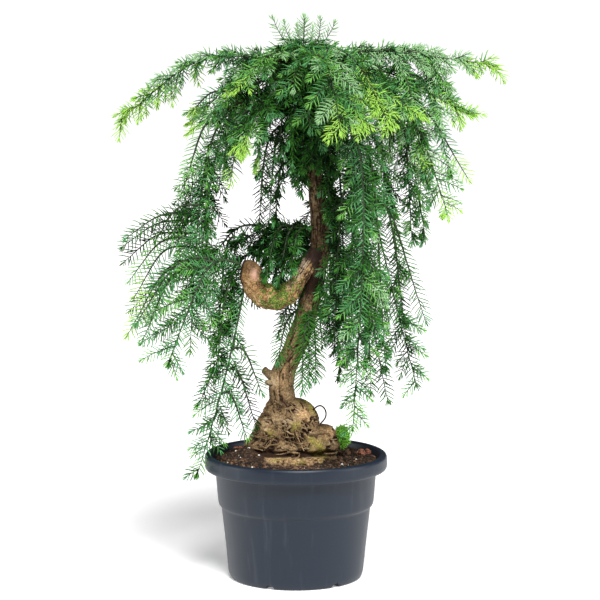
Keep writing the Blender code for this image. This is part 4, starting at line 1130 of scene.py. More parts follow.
SPRAY_SPACING = 0.0162
SPRAY_SAG = 0.20
NEEDLE_LENGTH = 0.0160
NEEDLE_THICKNESS = 0.0021
WHORL_SPACING = 0.0053
TINTS = {
    # name: base colour. shade to pale step mostly by painted light, from deep shade to full light, with some
    # tone that differs at random; young is new growth
    "shade": (0.004, 0.020, 0.003),
    "deep": (0.013, 0.066, 0.009),
    "leaf": (0.042, 0.165, 0.022),
    "teal": (0.095, 0.298, 0.102),
    "fresh": (0.165, 0.430, 0.085),
    "pale": (0.320, 0.550, 0.265),
    "young": (0.370, 0.660, 0.105),
}

# path, the flat's normal, tint of its first part, tint of its tip, where the tip starts, needle length
Twig = namedtuple("Twig", "path normal tint tip_tint tip_from needle")

# Ellipses on the upright plane through the trunk that no foliage crosses, seen from the front
OPENINGS = np.array([
    # x, z, half width, half height
    (0.0653, 0.4471, 0.0092, 0.0157), (-0.0357, 0.5664, 0.0092, 0.0105),
    (-0.0228, 0.5973, 0.0105, 0.0092), (-0.1157, 0.5857, 0.0183, 0.0105),
    (-0.1206, 0.6410, 0.0262, 0.0157), (-0.0669, 0.4978, 0.0236, 0.0472),
    (-0.0074, 0.4848, 0.0183, 0.0288), (-0.0310, 0.3002, 0.0223, 0.0341),
    (-0.0322, 0.3371, 0.0170, 0.0118), (0.0357, 0.2261, 0.0249, 0.0170),
    (0.1199, 0.4418, 0.0157, 0.0419), (0.0548, 0.5159, 0.0092, 0.0118),
    (-0.1352, 0.5702, 0.0170, 0.0249), (-0.1649, 0.5612, 0.0157, 0.0262),
    (0.1835, 0.4445, 0.0170, 0.0367), (0.1502, 0.3673, 0.0144, 0.0275),
    (0.2058, 0.5664, 0.0183, 0.0236), (-0.1419, 0.3134, 0.0092, 0.0197),
    (-0.1887, 0.5017, 0.0262, 0.0197), (0.1497, 0.6653, 0.0105, 0.0066),
    (-0.0597, 0.3186, 0.0105, 0.0472), (-0.0956, 0.4497, 0.0118, 0.0157),
    (-0.1789, 0.4236, 0.0262, 0.0118),
])
OFF_TRUNK = 0.002
OFF_RIM = 0.006
OVER_RIM = 0.005


def in_opening(path):
    """Whether each point of a path is in an opening, seen from the eye."""
    flat = EYE + (path - EYE) * (EYE[1] / (EYE[1] - path[:, 1:2]))
    off = (flat[:, None, [0, 2]] - OPENINGS[:, :2]) / OPENINGS[:, 2:]
    return ((off**2).sum(-1) < 1).any(1)


def clear_share(path):
    """How much of a path, from its start, stays off the trunk, the openings and the pot."""
    height = np.clip(path[:, 2], SOIL_TOP, TRUNK_TOP)
    away = path[:, :2] - trunk_axis(height)[:, :2]
    headings = np.degrees(np.arctan2(away[:, 1], away[:, 0]))
    off_trunk = np.hypot(*away.T) - trunk_radius(height) - flare(height, headings)
    bad = (off_trunk < OFF_TRUNK) & (path[:, 2] < TRUNK_TOP)
    out = np.hypot(path[:, 0], path[:, 1])
    bad |= (path[:, 2] < POT_HEIGHT + OVER_RIM) & (out < POT_RIM_RADIUS + OFF_RIM)
    bad |= in_opening(path)
    bad[0] = False
    return 1.0 if not bad.any() else float(np.argmax(bad) - 1) / (len(path) - 1)


def spray_path(root, way, length, sag, bend=0.0, side=None, points=9):
    """A spray's twig: a line that droops, and bends to one side, by the square of the distance."""
    s = np.linspace(0, 1, points)[:, None]
    path = root + way * length * s - UP * sag * length * s**2
    return path if side is None else path + side * bend * length * s**2


# How much light a spray gets, from under nought deep in the crown to over one outside
LIT = 0.46
LIT_SPREAD = (-0.50, 0.44)
LIT_PER_METRE_OUT = 5.0
CORE_RADIUS = 0.065
CROWN_AXIS_X = 0.012
LIT_PER_METRE_UP = 12.0
BRIGHT_TOP_FROM = 0.640
HANGING_FROM = 0.600
HANGING_SPAN = 0.12
HANGING_LOSS_LEFT = 0.18
HANGING_LOSS_RIGHT = 0.03
LOWER_LOSS = 0.65
SHADED_LOSS = 0.25
# how the names of limbs in the shade begin
SHADED = ("inner", "right_inner", "curl_", "centre_", "behind_")
# the light at which each tint gives way to the next
TINT_STEPS = (0.12, 0.42, 0.72, 0.98, 1.22)


def tint_of(rng, place, along, item, lower):
    """A spray's two tints, from the light that it gets: more outside the crown, on its top and towards a
    limb's tip, and less underneath, in the shade and low down, mostly on the left. Tips of limbs are new
    growth."""
    out = math.hypot(place[0] - CROWN_AXIS_X, place[1])
    hanging = min(1.0, max(0.0, (HANGING_FROM - place[2]) / HANGING_SPAN))
    lit = LIT - (HANGING_LOSS_LEFT if place[0] < 0 else HANGING_LOSS_RIGHT) * hanging
    lit += LIT_PER_METRE_OUT * (1 - 0.65 * hanging) * (out - CORE_RADIUS)
    lit += LIT_PER_METRE_UP * max(0.0, place[2] - BRIGHT_TOP_FROM)
    lit += 0.25 * along + rng.uniform(*LIT_SPREAD)
    lit -= LOWER_LOSS if lower else 0.0
    lit -= SHADED_LOSS if item.name.startswith(SHADED) else 0.0
    order = list(TINTS)[:-1]
    step = int(np.searchsorted(TINT_STEPS, lit))
    base, tip = order[step], order[min(step + 1, len(order) - 1)]
    if along > item.young and not lower:
        whole = along > item.young + 0.12 or rng.random() < 0.35
        base, tip = ("young", "young") if whole else ("fresh", "young")
    return base, tip


# limbs with a row of short upright sprays on top
CRESTED = {"left_arch", "right_arch", "right_second", "left_second"}
# limbs whose long sprays bear twiglets
TWIGGY = {
    "right_second", "right_curtain", "right_mid", "right_low", "back_high", "back_left_high",
    "back_right_high", "back_left_curtain", "back_curtain", "back_right_curtain", "front_fan",
    "front_fan_mid", "front_fan_right",
}
# how the names of limbs with more sprays off their plane begin, and the chances of one
BUSHY = ("front_fan", "right_second")
BUSHY_CHANCE = 0.95
OFF_PLANE_CHANCE = 0.55
# how the names of lone feathers near the foot begin, and how much longer the needles of lone feathers are
LOW_FEATHERS = ("foot_", "under_")
LOW_FEATHER_NEEDLE = 1.22
FEATHER_NEEDLE = 1.10
LONG_SPRAY = 0.05
LONG_SPRAY_NEEDLE = 1.12
LOWER_NEEDLE = 0.9
SHORTEST_SHARE = 0.35
FINER_LONGEST = 0.055
LOWER_LONGEST = 0.045
SPRAY_LEAN = (48, 60)
TWIGLET_FROM = 0.040
TWIGLET_CHANCE = 0.45
TWIGLET_FOOT = 0.018
TWIGLET_SPACING = 0.0085
TWIGLET_LENGTHS = (0.014, 0.022, 0.010)
TWIGLET_SAG = 0.15
TWIGLET_NEEDLE = 0.85
STEM_STEP = 0.004
ROOT_SPRAY_SPACING = 0.012
ROOT_SPRAY_LENGTHS = (0.016, 0.028)
CREST_LENGTHS = (0.015, 0.022)


def limb_frame(item, t):
    """At t on a limb: its way, its level side and the direction square to both, on the limb's outer side."""
    out, left = limb_way(item)
    way = units(limb_points(item, t + 0.004)[0] - limb_points(item, t)[0])
    level = units(left - way * (left @ way))
    upright = np.cross(way, level)
    return way, level, upright if upright @ (out + 0.6 * UP) > 0 else -upright


def twiglets(fine, spray, heading, length, needle):
    """Finer twigs by turns on the two sides of a long spray, longest before its middle."""
    grown = []
    count = int((length - TWIGLET_FOOT) / TWIGLET_SPACING)
    for number in range(count):
        share = 0.22 + 0.62 * (number + fine.uniform(0.2, 0.8)) / count
        turn = math.radians(fine.uniform(42, 55))
        side = (1 if number % 2 else -1) * np.cross(spray.normal, heading)
        off = spray.normal * fine.uniform(-0.25, 0.25)
        away = units(heading * math.cos(turn) + side * math.sin(turn) + off)
        reach = np.interp(share, (0.2, 0.45, 1), TWIGLET_LENGTHS) * fine.uniform(0.8, 1.15)
        path = spray_path(spray_point(spray.path, share), away, reach, TWIGLET_SAG, points=6)
        if clear_share(path) == 1:
            grown.append(spray._replace(path=path, tip_from=0.5, needle=needle * TWIGLET_NEEDLE))
    return grown


def spray_at(item, fine, t, along, side, roll, lean, length, lower=False):
    """A spray at t on a limb, and its twiglets: off to one side by lean, with that side rolled up from
    level. It is cut short before what it would run into, and left out where too little of it stays."""
    way, level, upright = limb_frame(item, t)
    off = side * (level * math.cos(roll) + upright * math.sin(roll))
    heading = units(way * math.cos(lean) + off * math.sin(lean))
    normal = units(np.cross(way, heading))
    root = limb_points(item, t)[0]
    bend = fine.uniform(-0.10, 0.10)
    across = np.cross(normal, heading)
    path = spray_path(root, heading, length, SPRAY_SAG, bend, across)
    share = clear_share(path)
    if share < SHORTEST_SHARE:
        return []
    if share < 1:
        path = spray_path(root, heading, length * share, SPRAY_SAG * share, bend, across)
        length *= share
    base, tip = tint_of(fine, path[-1], along, item, lower)
    needle = NEEDLE_LENGTH * fine.uniform(0.86, 1.06) * (LOWER_NEEDLE if lower else 1)
    tip_from = fine.uniform(0.45, 0.75)
    longer = LONG_SPRAY_NEEDLE if length > LONG_SPRAY else 1
    spray = Twig(path, normal, base, tip, tip_from, needle * longer)
    if length > TWIGLET_FROM and item.name in TWIGGY and fine.random() < TWIGLET_CHANCE:
        return [spray, *twiglets(fine, spray, heading, length, needle)]
    return [spray]


def side_sprays(item, rng, fine):
    """A limb's sprays by turns on its two sides, leaning forwards, longest where the limb is fullest:
    first those of the main rule, then finer ones between them, some off their plane, and a crest on some
    limbs."""
    twigs = []
    stations = evenly(item, item.bare, SPRAY_SPACING)
    chance = BUSHY_CHANCE if item.name.startswith(BUSHY) else OFF_PLANE_CHANCE
    for number, t in enumerate(stations[:-1] + np.diff(stations) * 0.55):
        along = (number + 0.5) / (len(stations) - 1)
        roll = math.radians(item.roll + rng.uniform(-12, 12))
        side = 1 if number % 2 == 0 else -1
        share = np.interp(along, (0, item.fullest, 1), (item.first, 1, 0.34)) * rng.uniform(0.88, 1.12)
        lean = math.radians(rng.uniform(*SPRAY_LEAN))
        longest, other = (item.outer, item.inner) if side > 0 else (item.inner, item.outer)
        twigs += spray_at(item, fine, t, along, side, roll, lean, longest * share)
        between = t + 0.5 * (stations[number + 1] - stations[number])
        if between < 0.97:
            turned = roll + math.radians(fine.uniform(-24, 24))
            length = min(other, FINER_LONGEST) * share * fine.uniform(0.62, 0.92)
            twigs += spray_at(item, fine, between, along, -side, turned, lean, length)
        if fine.random() < chance:
            turned = roll + math.radians(fine.choice((-1, 1)) * fine.uniform(50, 85))
            length = min(longest, LOWER_LONGEST) * share * fine.uniform(0.45, 0.7)
            twigs += spray_at(item, fine, t - 0.002, along, side, turned, lean, length, lower=True)
        if item.name in CRESTED:
            turned = math.radians(90 - side * 22)
            length = fine.uniform(*CREST_LENGTHS)
            twigs += spray_at(item, fine, t + 0.004, along, side, turned, 0.75, length)
    return twigs


def root_sprays(item, fine):
    """Short sprays on both sides of a limb's bare root."""
    twigs = []
    for t in evenly(item, 0.0, ROOT_SPRAY_SPACING):
        if 0.10 < t < item.bare:
            for side in (-1, 1):
                roll = math.radians(fine.uniform(-30, 60))
                twigs += spray_at(item, fine, t, 0.1, side, roll, 1.0, fine.uniform(*ROOT_SPRAY_LENGTHS))
    return twigs


def stem_twig(item, fine):
    """A limb's own stem as a twig with needles, which are longer on a lone feather."""
    path = limb_points(item, evenly(item, 0.08 if item.outer else 0.0, STEM_STEP))
    _, level, upright = limb_frame(item, 0.7)
    roll = math.radians(item.roll)
    normal = units(np.cross(units(path[-1] - path[-3]), level * math.cos(roll) + upright * math.sin(roll)))
    base, tip = tint_of(fine, path[len(path) // 2], 0.4, item, False)
    feather = LOW_FEATHER_NEEDLE if item.name.startswith(LOW_FEATHERS) else FEATHER_NEEDLE
    needle = NEEDLE_LENGTH * (1.0 if item.outer else feather)
    return Twig(path, normal, base, "young" if item.young < 0.9 else tip, min(item.young, 0.9), needle)


def grow(item):
    """All the twigs of one limb: its sprays, those on its bare root and its own stem."""
    rng = random.Random(item.name)
    fine = random.Random(item.name + " fine")
    twigs = side_sprays(item, rng, fine) if item.outer else []
    twigs += root_sprays(item, fine) if item.bough else []
    return twigs + [stem_twig(item, fine)]


def spray_point(path, share):
    """The point a share of the way along a path of even steps."""
    place = share * (len(path) - 1)
    low = min(int(place), len(path) - 2)
    return path[low] + (path[low + 1] - path[low]) * (place - low)


# Where the needles are this many times the usual length or more, whorls are this share of the usual spacing
DENSE_FROM = 1.2
DENSE_SPACING = 0.72


def needle_seats(twig, seed):
    """Where a twig's needles sit and point. They stand in whorls of three: one to each flat side and one
    off the flat, over or under it by turns. They lean forwards, more so at the tip, and are shorter there.
    Returns their feet, ways, outward directions, lengths and shares of the way along."""
    rng = np.random.default_rng(seed)
    along = np.concatenate([[0], np.cumsum(np.linalg.norm(np.diff(twig.path, axis=0), axis=1))])
    size = twig.needle / NEEDLE_LENGTH
    whorls = max(3, int(along[-1] / (WHORL_SPACING * (size if size < DENSE_FROM else DENSE_SPACING))))
    whorl = np.repeat(np.arange(whorls), 3)
    row = np.tile(np.arange(3), whorls)
    place = (whorl + np.where(row < 2, 0.25, 0.75) + rng.uniform(-0.13, 0.13, len(row))) / whorls
    turn = np.choose(row, (0.0, math.pi, 0.0)) + (row == 2) * np.choose(whorl % 4, (0.9, -0.9, 2.2, -2.2))
    turn = turn + rng.uniform(-0.22, 0.22, len(row))
    place = np.concatenate([place, np.full(3, 0.985)])
    turn = np.concatenate([turn, np.arange(3) * GOLDEN_ANGLE])
    path = np.array([np.interp(place * along[-1], along, column) for column in twig.path.T]).T
    ways = units(np.gradient(twig.path, along, axis=0))
    way = units(np.array([np.interp(place * along[-1], along, column) for column in ways.T]).T)
    flat = units(twig.normal - way * (way @ twig.normal)[:, None])
    radial = np.cross(flat, way) * np.cos(turn)[:, None] + flat * np.sin(turn)[:, None]
    to_tip = (1 - place) * along[-1]
    lean = np.radians(np.interp(to_tip, (0, 0.008, 0.026), (14, 44, 57)) + rng.normal(0, 4, len(place)))
    heading = way * np.cos(lean)[:, None] + radial * np.sin(lean)[:, None] - 0.10 * UP
    length = twig.needle * np.interp(to_tip, (0, 0.012), (0.55, 1)) * np.interp(place, (0, 0.1), (0.75, 1))
    return path, units(heading), units(radial), length * rng.uniform(0.86, 1.10, len(place)), place


def needle_mesh(base, heading, radial, length, thickness):
    """Needles of three sides: a foot, two rings of corners, bowed outwards a little, and a sharp tip."""
    across = units(np.cross(heading, radial))
    upward = np.cross(across, heading)
    turn = np.array([0.5, 0.5 + 2 / 3, 0.5 + 4 / 3]) * math.pi
    ring = across[:, None] * np.cos(turn)[:, None] + upward[:, None] * np.sin(turn)[:, None] * 0.75
    ring = ring * (thickness / 2)[:, None, None]
    rings = []
    for share, bow, girth in ((0.10, 0.01, 0.85), (0.68, 0.05, 0.85)):
        middle = base + heading * (share * length)[:, None] + upward * (bow * length)[:, None]
        rings.append(middle[:, None] + ring * girth)
    tip = base + heading * length[:, None]
    points = np.concatenate([base[:, None], *rings, tip[:, None]], axis=1)
    corners = [(0, 1 + (k + 1) % 3, 1 + k) for k in range(3)]
    corners += [(7, 4 + k, 4 + (k + 1) % 3) for k in range(3)]
    for k in range(3):
        a, b = 1 + k, 1 + (k + 1) % 3
        corners += [(a, b, b + 3), (a, b + 3, a + 3)]
    faces = np.array(corners)[None] + 8 * np.arange(len(base))[:, None, None]
    return points.reshape(-1, 3), faces.reshape(-1, 3)


def side_of(item):
    """The part of the crown that a limb is in, by its heading."""
    turn = item.heading % 360
    if 235 <= turn < 335:
        return "front"
    if turn >= 335 or turn < 30:
        return "right"
    return "back" if turn < 160 else "left"


TUFT_HEIGHT = 0.686
TUFT = [
    # the point it bends towards, its tip, needle length
    ((0.0105, 0.000, 0.6950), (0.0107, 0.000, 0.7310), 0.0150),
    ((0.0112, -0.002, 0.6950), (0.0114, -0.003, 0.7290), 0.0150),
    ((-0.0150, -0.004, 0.6915), (-0.0290, -0.006, 0.7300), 0.0140),
    ((-0.0080, 0.006, 0.6950), (-0.0149, 0.010, 0.7250), 0.0115),
    ((0.0340, -0.004, 0.6920), (0.0313, -0.008, 0.7300), 0.0120),
    ((0.0390, 0.004, 0.6920), (0.0500, 0.006, 0.7240), 0.0130),
    ((0.0060, 0.022, 0.6930), (0.0020, 0.032, 0.7200), 0.0120),
    ((0.0200, 0.016, 0.6930), (0.0220, 0.024, 0.7180), 0.0115),
]


def tuft_twigs():
    """The leader's tuft: two upright feathers, and six round them that leave the trunk sideways and bend
    upwards. Each is a parabola from the trunk to its tip."""
    root = trunk_axis(TUFT_HEIGHT)
    twigs = []
    for bend, tip, needle in TUFT:
        s = np.linspace(0, 1, 12)[:, None]
        path = root * (1 - s) ** 2 + 2 * s * (1 - s) * np.array(bend) + np.array(tip) * s**2
        way = units(path[-1] - path[-3])
        out = np.array([tip[0] - root[0], tip[1] - root[1], 0.0])
        normal = FRONT if abs(out[1]) < 0.012 else units(np.cross(way, np.cross(units(out), UP)))
        twigs.append(Twig(path, units(normal - way * (way @ normal)), "teal", "pale", 0.3, needle))
    return twigs


TRUNK_SHOOT_COUNT = 260
TRUNK_SHOOTS_FROM = 0.692
TRUNK_SHOOTS_SPAN = 0.260
BARE_FRONT_UNDER = 0.560
BRIGHT_SHOOTS_OVER = 0.668
TRUNK_SHOOT_LENGTHS = (0.018, 0.042)
TRUNK_SHOOT_SAG = 0.35
TRUNK_SHOOT_NEEDLE = 0.0135


def trunk_shoots():
    """Short shoots straight from the trunk, all round it in the crown, and not on its front lower down. The
    highest are tinted with painted light and may rise, and the rest are tinted with painted shade and droop."""
    rng = random.Random("trunk shoots")
    twigs = []
    for number in range(TRUNK_SHOOT_COUNT):
        height = TRUNK_SHOOTS_FROM - TRUNK_SHOOTS_SPAN * (number / TRUNK_SHOOT_COUNT) ** 1.15
        high = height > BRIGHT_SHOOTS_OVER
        turn = GOLDEN_ANGLE * number
        out = np.array([math.cos(turn), math.sin(turn), 0])
        if height < BARE_FRONT_UNDER and out[1] < -0.35:
            continue
        root = trunk_axis(height) + out * float(trunk_radius(height)) * 0.9
        way = units(out + UP * (rng.uniform(-0.9, 0.25) + 0.9 * high))
        path = spray_path(root, way, rng.uniform(*TRUNK_SHOOT_LENGTHS), TRUNK_SHOOT_SAG, points=7)
        if not in_opening(path).any():
            # painted light on the highest shoots, painted shade on the rest
            tint = rng.choice(("leaf", "teal")) if high else rng.choice(("shade", "deep", "deep"))
            end = "teal" if high else "leaf"
            normal = units(np.cross(way, np.cross(out, UP)))
            twigs.append(Twig(path, normal, tint, end, 0.7, TRUNK_SHOOT_NEEDLE))
    return twigs


# a stem's path has more points than this
STEM_POINTS = 12
STEM_RADIUS = 0.0018
STEM_SIDES = 5
TWIG_RADIUS = 0.0008
TWIG_SIDES = 3
TWIG_TIP_RADIUS = 0.00045


def twig_tube(twig):
    """A twig's wood: a round bar that tapers to its tip."""
    stem = len(twig.path) > STEM_POINTS
    radii = np.linspace(STEM_RADIUS if stem else TWIG_RADIUS, TWIG_TIP_RADIUS, len(twig.path))
    return closed_tube(rings_along(twig.path, radii, STEM_SIDES if stem else TWIG_SIDES, twig.normal))


def make_foliage():
    """Every limb's twigs, joined by the side of the crown, and their needles, joined by side and tint."""
    needles, woods, names = {}, {}, {}
    crowns = [(side_of(item), item.name, grow(item)) for item in LIMBS + SHOOTS]
    crowns.append(("front", "leader_tuft", tuft_twigs()))
    crowns.append(("back", "trunk_shoots", trunk_shoots()))
    seed = 0
    for side, name, twigs in crowns:
        if "foliage_" + name in NODES:
            names.setdefault(side, set()).add("foliage_" + name)
        for twig in twigs:
            seed += 1
            woods.setdefault(side, []).append(twig_tube(twig))
            base, heading, radial, length, place = needle_seats(twig, seed)
            late = place > twig.tip_from
            for tint, chosen in ((twig.tint, ~late), (twig.tip_tint, late)):
                rows = (base[chosen], heading[chosen], radial[chosen], length[chosen])
                needles.setdefault((side, tint), []).append((name, rows))
    tints = {tint: needle_finish(tint, colour) for tint, colour in TINTS.items()}
    twig_green = Finish("green_twigs", base=(0.022, 0.040, 0.012), roughness=0.7)
    for side, parts in woods.items():
        piece = mesh_of("twigs_" + side, *joined_mesh(parts), twig_green)
        dress(piece, "needles", *sorted(names[side]))
    for (side, tint), rows in sorted(needles.items()):
        base, heading, radial, length = (np.concatenate([row[k] for _, row in rows]) for k in range(4))
        thickness = NEEDLE_THICKNESS * length / NEEDLE_LENGTH * 0.35 + NEEDLE_THICKNESS * 0.65
        points, faces = needle_mesh(base, heading, radial, length, thickness)
        piece = mesh_of(f"needles_{side}_{tint}", points, faces, tints[tint])
        dress(piece, "needles", *sorted({"foliage_" + name for name, _ in rows} & set(NODES)))


def needle_finish(name, colour):
    """Firm waxy needles of one plain green."""
    f = Finish("needles_" + name, base=colour, roughness=0.6)
    f.set(**{"Specular IOR Level": 0.10})
    return f


# ================================================================ soil

BANK_HEIGHT = 0.0050
BANK_RADIUS = 0.040
BANK_FADE = 0.012
MOUND_HEIGHT = 0.0165
MOUND_MIDDLE = (-0.064, -0.012)
MOUND_HALF = (0.024, 0.032)
WALL_SINK = 0.0035
WALL_SINK_FROM = 0.092
WALL_SINK_SPAN = 0.017
SOIL_RINGS = 110
SOIL_SIDES = 300
SOIL_DEPTH = 0.012


def soil_height(x, y):
    """The top of the potting mix: lumpy, a little sunk at the wall, banked up against the roots but less
    on the front, and heaped in a mound on the left."""
    spot = np.stack([x, y, 0 * x], axis=-1)
    out = np.hypot(x, y)
    bank = BANK_HEIGHT * np.exp(-np.clip(np.hypot(x + 0.004, y + 0.004) - BANK_RADIUS, 0, None) / BANK_FADE)
    bank = bank * np.clip(1.2 + y / 0.030, 0.1, 1)
    off_x = (x - MOUND_MIDDLE[0]) / MOUND_HALF[0]
    off_y = (y - MOUND_MIDDLE[1]) / MOUND_HALF[1]
    bank = bank + MOUND_HEIGHT * np.exp(-(off_x**2) - off_y**2)
    wall = WALL_SINK * np.clip((out - WALL_SINK_FROM) / WALL_SINK_SPAN, 0, 1) ** 2
    lumps = 0.0016 * grain(spot, 0.016, 80, 2) + 0.0009 * grain(spot, 0.0042, 83, 2)
    return SOIL_TOP - 0.0005 + bank - wall + lumps


def make_soil():
    """A disc of rings whose height is that of the mix, closed by a flat underside in the pot."""
    out = np.linspace(0, 1, SOIL_RINGS)[:, None] ** 0.8 * (POT_RIM_INNER_RADIUS - 0.0006)
    turn = np.linspace(0, TURN, SOIL_SIDES, endpoint=False)[None]
    x, y = out * np.cos(turn), out * np.sin(turn)
    top = np.stack([x, y, soil_height(x, y)], axis=-1)
    low = top[::-1].copy()
    low[..., 2] = SOIL_TOP - SOIL_DEPTH
    low[..., :2] *= 0.97
    both = np.concatenate([top, low])[::-1]
    soil = mesh_of("potting_mix", both.reshape(-1, 3), wrapped_faces(len(both), SOIL_SIDES), peat())
    dress(soil, "potting_mix", "soil")


def peat():
    """Damp peat: near black with brown fibres."""
    f = Finish("peat", roughness=0.95)
    f.set(**{"Specular IOR Level": 0.2})
    crumbs = f.noise(260, 5, 0.7)
    fibre = f.noise(900, 3, 0.6)
    base = f.ramp(crumbs, (0.36, (0.010, 0.006, 0.004)), (0.50, (0.035, 0.020, 0.012)),
                  (0.62, (0.090, 0.050, 0.028)), (0.74, (0.170, 0.110, 0.070)))
    f.set(**{"Base Color": f.mix(fibre.step(0.60, 0.75) * 0.5, base, (0.14, 0.085, 0.050))})
    f.bump(crumbs + fibre * 0.5, 0.0015, 0.9)
    return f


CLOD_RINGS = 3
CLOD_SIDES = 5


def ball(rings, sides):
    """Points and triangles of a ball: level rings of points, each turned on a little, between two poles."""
    level = np.linspace(-1, 1, rings + 2)[1:-1]
    turn = np.arange(sides) / sides * TURN
    out = np.sqrt(1 - level**2)[:, None]
    points = np.stack([out * np.cos(turn + level[:, None]), out * np.sin(turn + level[:, None]),
                       np.repeat(level[:, None], sides, 1)], -1).reshape(-1, 3)
    points = np.concatenate([[(0, 0, -1.0)], points, [(0, 0, 1.0)]])
    faces = []
    for ring in range(rings - 1):
        for side in range(sides):
            a, b = 1 + ring * sides + side, 1 + ring * sides + (side + 1) % sides
            faces += [(a, b, b + sides), (a, b + sides, a + sides)]
    last = 1 + (rings - 1) * sides
    faces += [(0, 1 + (side + 1) % sides, 1 + side) for side in range(sides)]
    faces += [(len(points) - 1, last + side, last + (side + 1) % sides) for side in range(sides)]
    return points, np.array(faces)


def clods(spots, sizes, seed, flat=0.8):
    """Rough lumps: for each, the points of a small ball are pushed in and out at random, stretched, tilted
    and moved to its spot. A low flat makes chips that lie."""
    rng = np.random.default_rng(seed)
    body, faces = ball(CLOD_RINGS, CLOD_SIDES)
    count = len(spots)
    shape = body[None] * (1 + rng.uniform(-0.28, 0.28, (count, len(body), 1)))
    shape = shape * rng.uniform(0.6, 1.3, (count, 1, 3)) * np.array([1, 1, flat])
    tilt = units(rng.normal(0, 1, (count, 3)) * np.array([1, 1, 0.2]) * (1 - flat * 0.6) + UP)
    side = units(np.cross(tilt, rng.normal(0, 1, (count, 3))))
    axes = np.stack([side, np.cross(tilt, side), tilt], axis=1)
    points = np.einsum("kpi,kij->kpj", shape, axes) * np.asarray(sizes)[:, None, None]
    points = points + np.asarray(spots)[:, None]
    faces = faces[None] + len(body) * np.arange(count)[:, None, None]
    return points.reshape(-1, 3), faces.reshape(-1, 3)


LITTER_RADIUS = 0.108
CRUMB_COUNT = 2600
CRUMB_SIZES = (0.0006, 0.0019)
DARK_SHARE = 0.62
CHIP_COUNT = 190
CHIP_SIZES = (0.0018, 0.0042)
GRIT_COUNT = 48
GRIT_SIZES = (0.0006, 0.0012)
LARGE_GRIT_SIZES = (0.0014, 0.0022)
# Larger white grains, and the pieces of pumice in two groups with their sizes
GRIT_SPOTS = [
    (-0.0782, -0.011), (-0.0876, -0.045), (-0.0561, -0.0648), (-0.0006, -0.0714), (0.0120, -0.0714),
    (0.0693, -0.0314), (0.0791, -0.0042), (0.0598, -0.0516), (-0.0480, -0.030), (-0.0610, -0.020),
]
PUMICE_SPOTS = [(0.0880, 0.024), (0.0955, 0.030), (0.0840, 0.034), (-0.0801, 0.0572), (-0.0740, 0.050)]
PUMICE_SIZES = [0.0070, 0.0056, 0.0050, 0.0036, 0.0030]


def strewn(count, seed):
    """Spots on the mix, spread evenly over it and kept off the foot of the trunk."""
    rng = np.random.default_rng(seed)
    out = np.sqrt(rng.uniform(0, LITTER_RADIUS**2, count * 3))
    turn = rng.uniform(0, TURN, count * 3)
    x, y = out * np.cos(turn), out * np.sin(turn)
    axis = trunk_axis(SOIL_TOP)
    headings = np.degrees(np.arctan2(y - axis[1], x - axis[0]))
    foot = foot_radius(np.full(len(x), SOIL_TOP), headings)
    clear = np.hypot(x - axis[0], y - axis[1]) > foot + 0.0005
    x, y = x[clear][:count], y[clear][:count]
    return np.stack([x, y, soil_height(x, y)], axis=-1), rng


def on_mix(spots, rise):
    """Chosen spots as points that much over the mix."""
    spots = np.array(spots)
    return np.column_stack([spots, soil_height(*spots.T) + rise])


def lay(name, lumps, finish):
    """Makes a piece of lumps that lie on the mix."""
    dress(mesh_of(name, *lumps, finish, smooth=False), "potting_mix")


def make_crumbs():
    """Dark and brown crumbs all over the mix."""
    spots, rng = strewn(CRUMB_COUNT, 1)
    sizes = rng.uniform(*CRUMB_SIZES, len(spots)) * rng.choice((1, 1, 1.6), len(spots))
    dark = rng.random(len(spots)) < DARK_SHARE
    crumb = Finish("crumbs", base=(0.022, 0.013, 0.008), roughness=0.95)
    brown = Finish("brown_crumbs", base=(0.105, 0.058, 0.032), roughness=0.95)
    lay("crumbs", clods(spots[dark], sizes[dark], 2), crumb)
    lay("brown_crumbs", clods(spots[~dark], sizes[~dark] * 0.9, 3), brown)


def make_chips():
    """Flat chips of bark."""
    spots, rng = strewn(CHIP_COUNT, 4)
    chips = Finish("bark_chips", base=(0.165, 0.085, 0.045), roughness=0.9)
    lay("bark_chips", clods(spots, rng.uniform(*CHIP_SIZES, len(spots)), 5, 0.4), chips)


def make_grit():
    """White grit: small grains all over, and larger ones at chosen spots."""
    spots, rng = strewn(GRIT_COUNT, 6)
    small = rng.uniform(*GRIT_SIZES, len(spots))
    large = rng.uniform(*LARGE_GRIT_SIZES, len(GRIT_SPOTS))
    spots = np.concatenate([spots, on_mix(GRIT_SPOTS, 0.0008)])
    grit = Finish("white_grit", base=(0.78, 0.76, 0.70), roughness=0.8)
    lay("white_grit", clods(spots, np.concatenate([small, large]), 7), grit)


def make_pumice():
    """Red-brown pieces of pumice, speckled by their pores."""
    red = Finish("red_pumice", base=(0.300, 0.105, 0.060), roughness=0.9)
    rough = red.noise(500, 4, 0.7)
    red.set(**{"Base Color": red.ramp(rough, (0.35, (0.080, 0.026, 0.016)), (0.55, (0.330, 0.120, 0.070)),
                                      (0.75, (0.520, 0.270, 0.180)))})
    red.bump(rough, 0.001)
    lay("red_pumice", clods(on_mix(PUMICE_SPOTS, 0.0025), np.array(PUMICE_SIZES), 8), red)


SPROUT_MIDDLE = np.array([0.0600, -0.0030, 0.1850])
SPROUT_HALF = np.array([0.0090, 0.0090, 0.0140])
SPROUT_LEAVES = 1100
SPROUT_LEAF_LENGTHS = (0.0035, 0.0065)
SPROUT_LEAF_THICKNESS = 0.0017


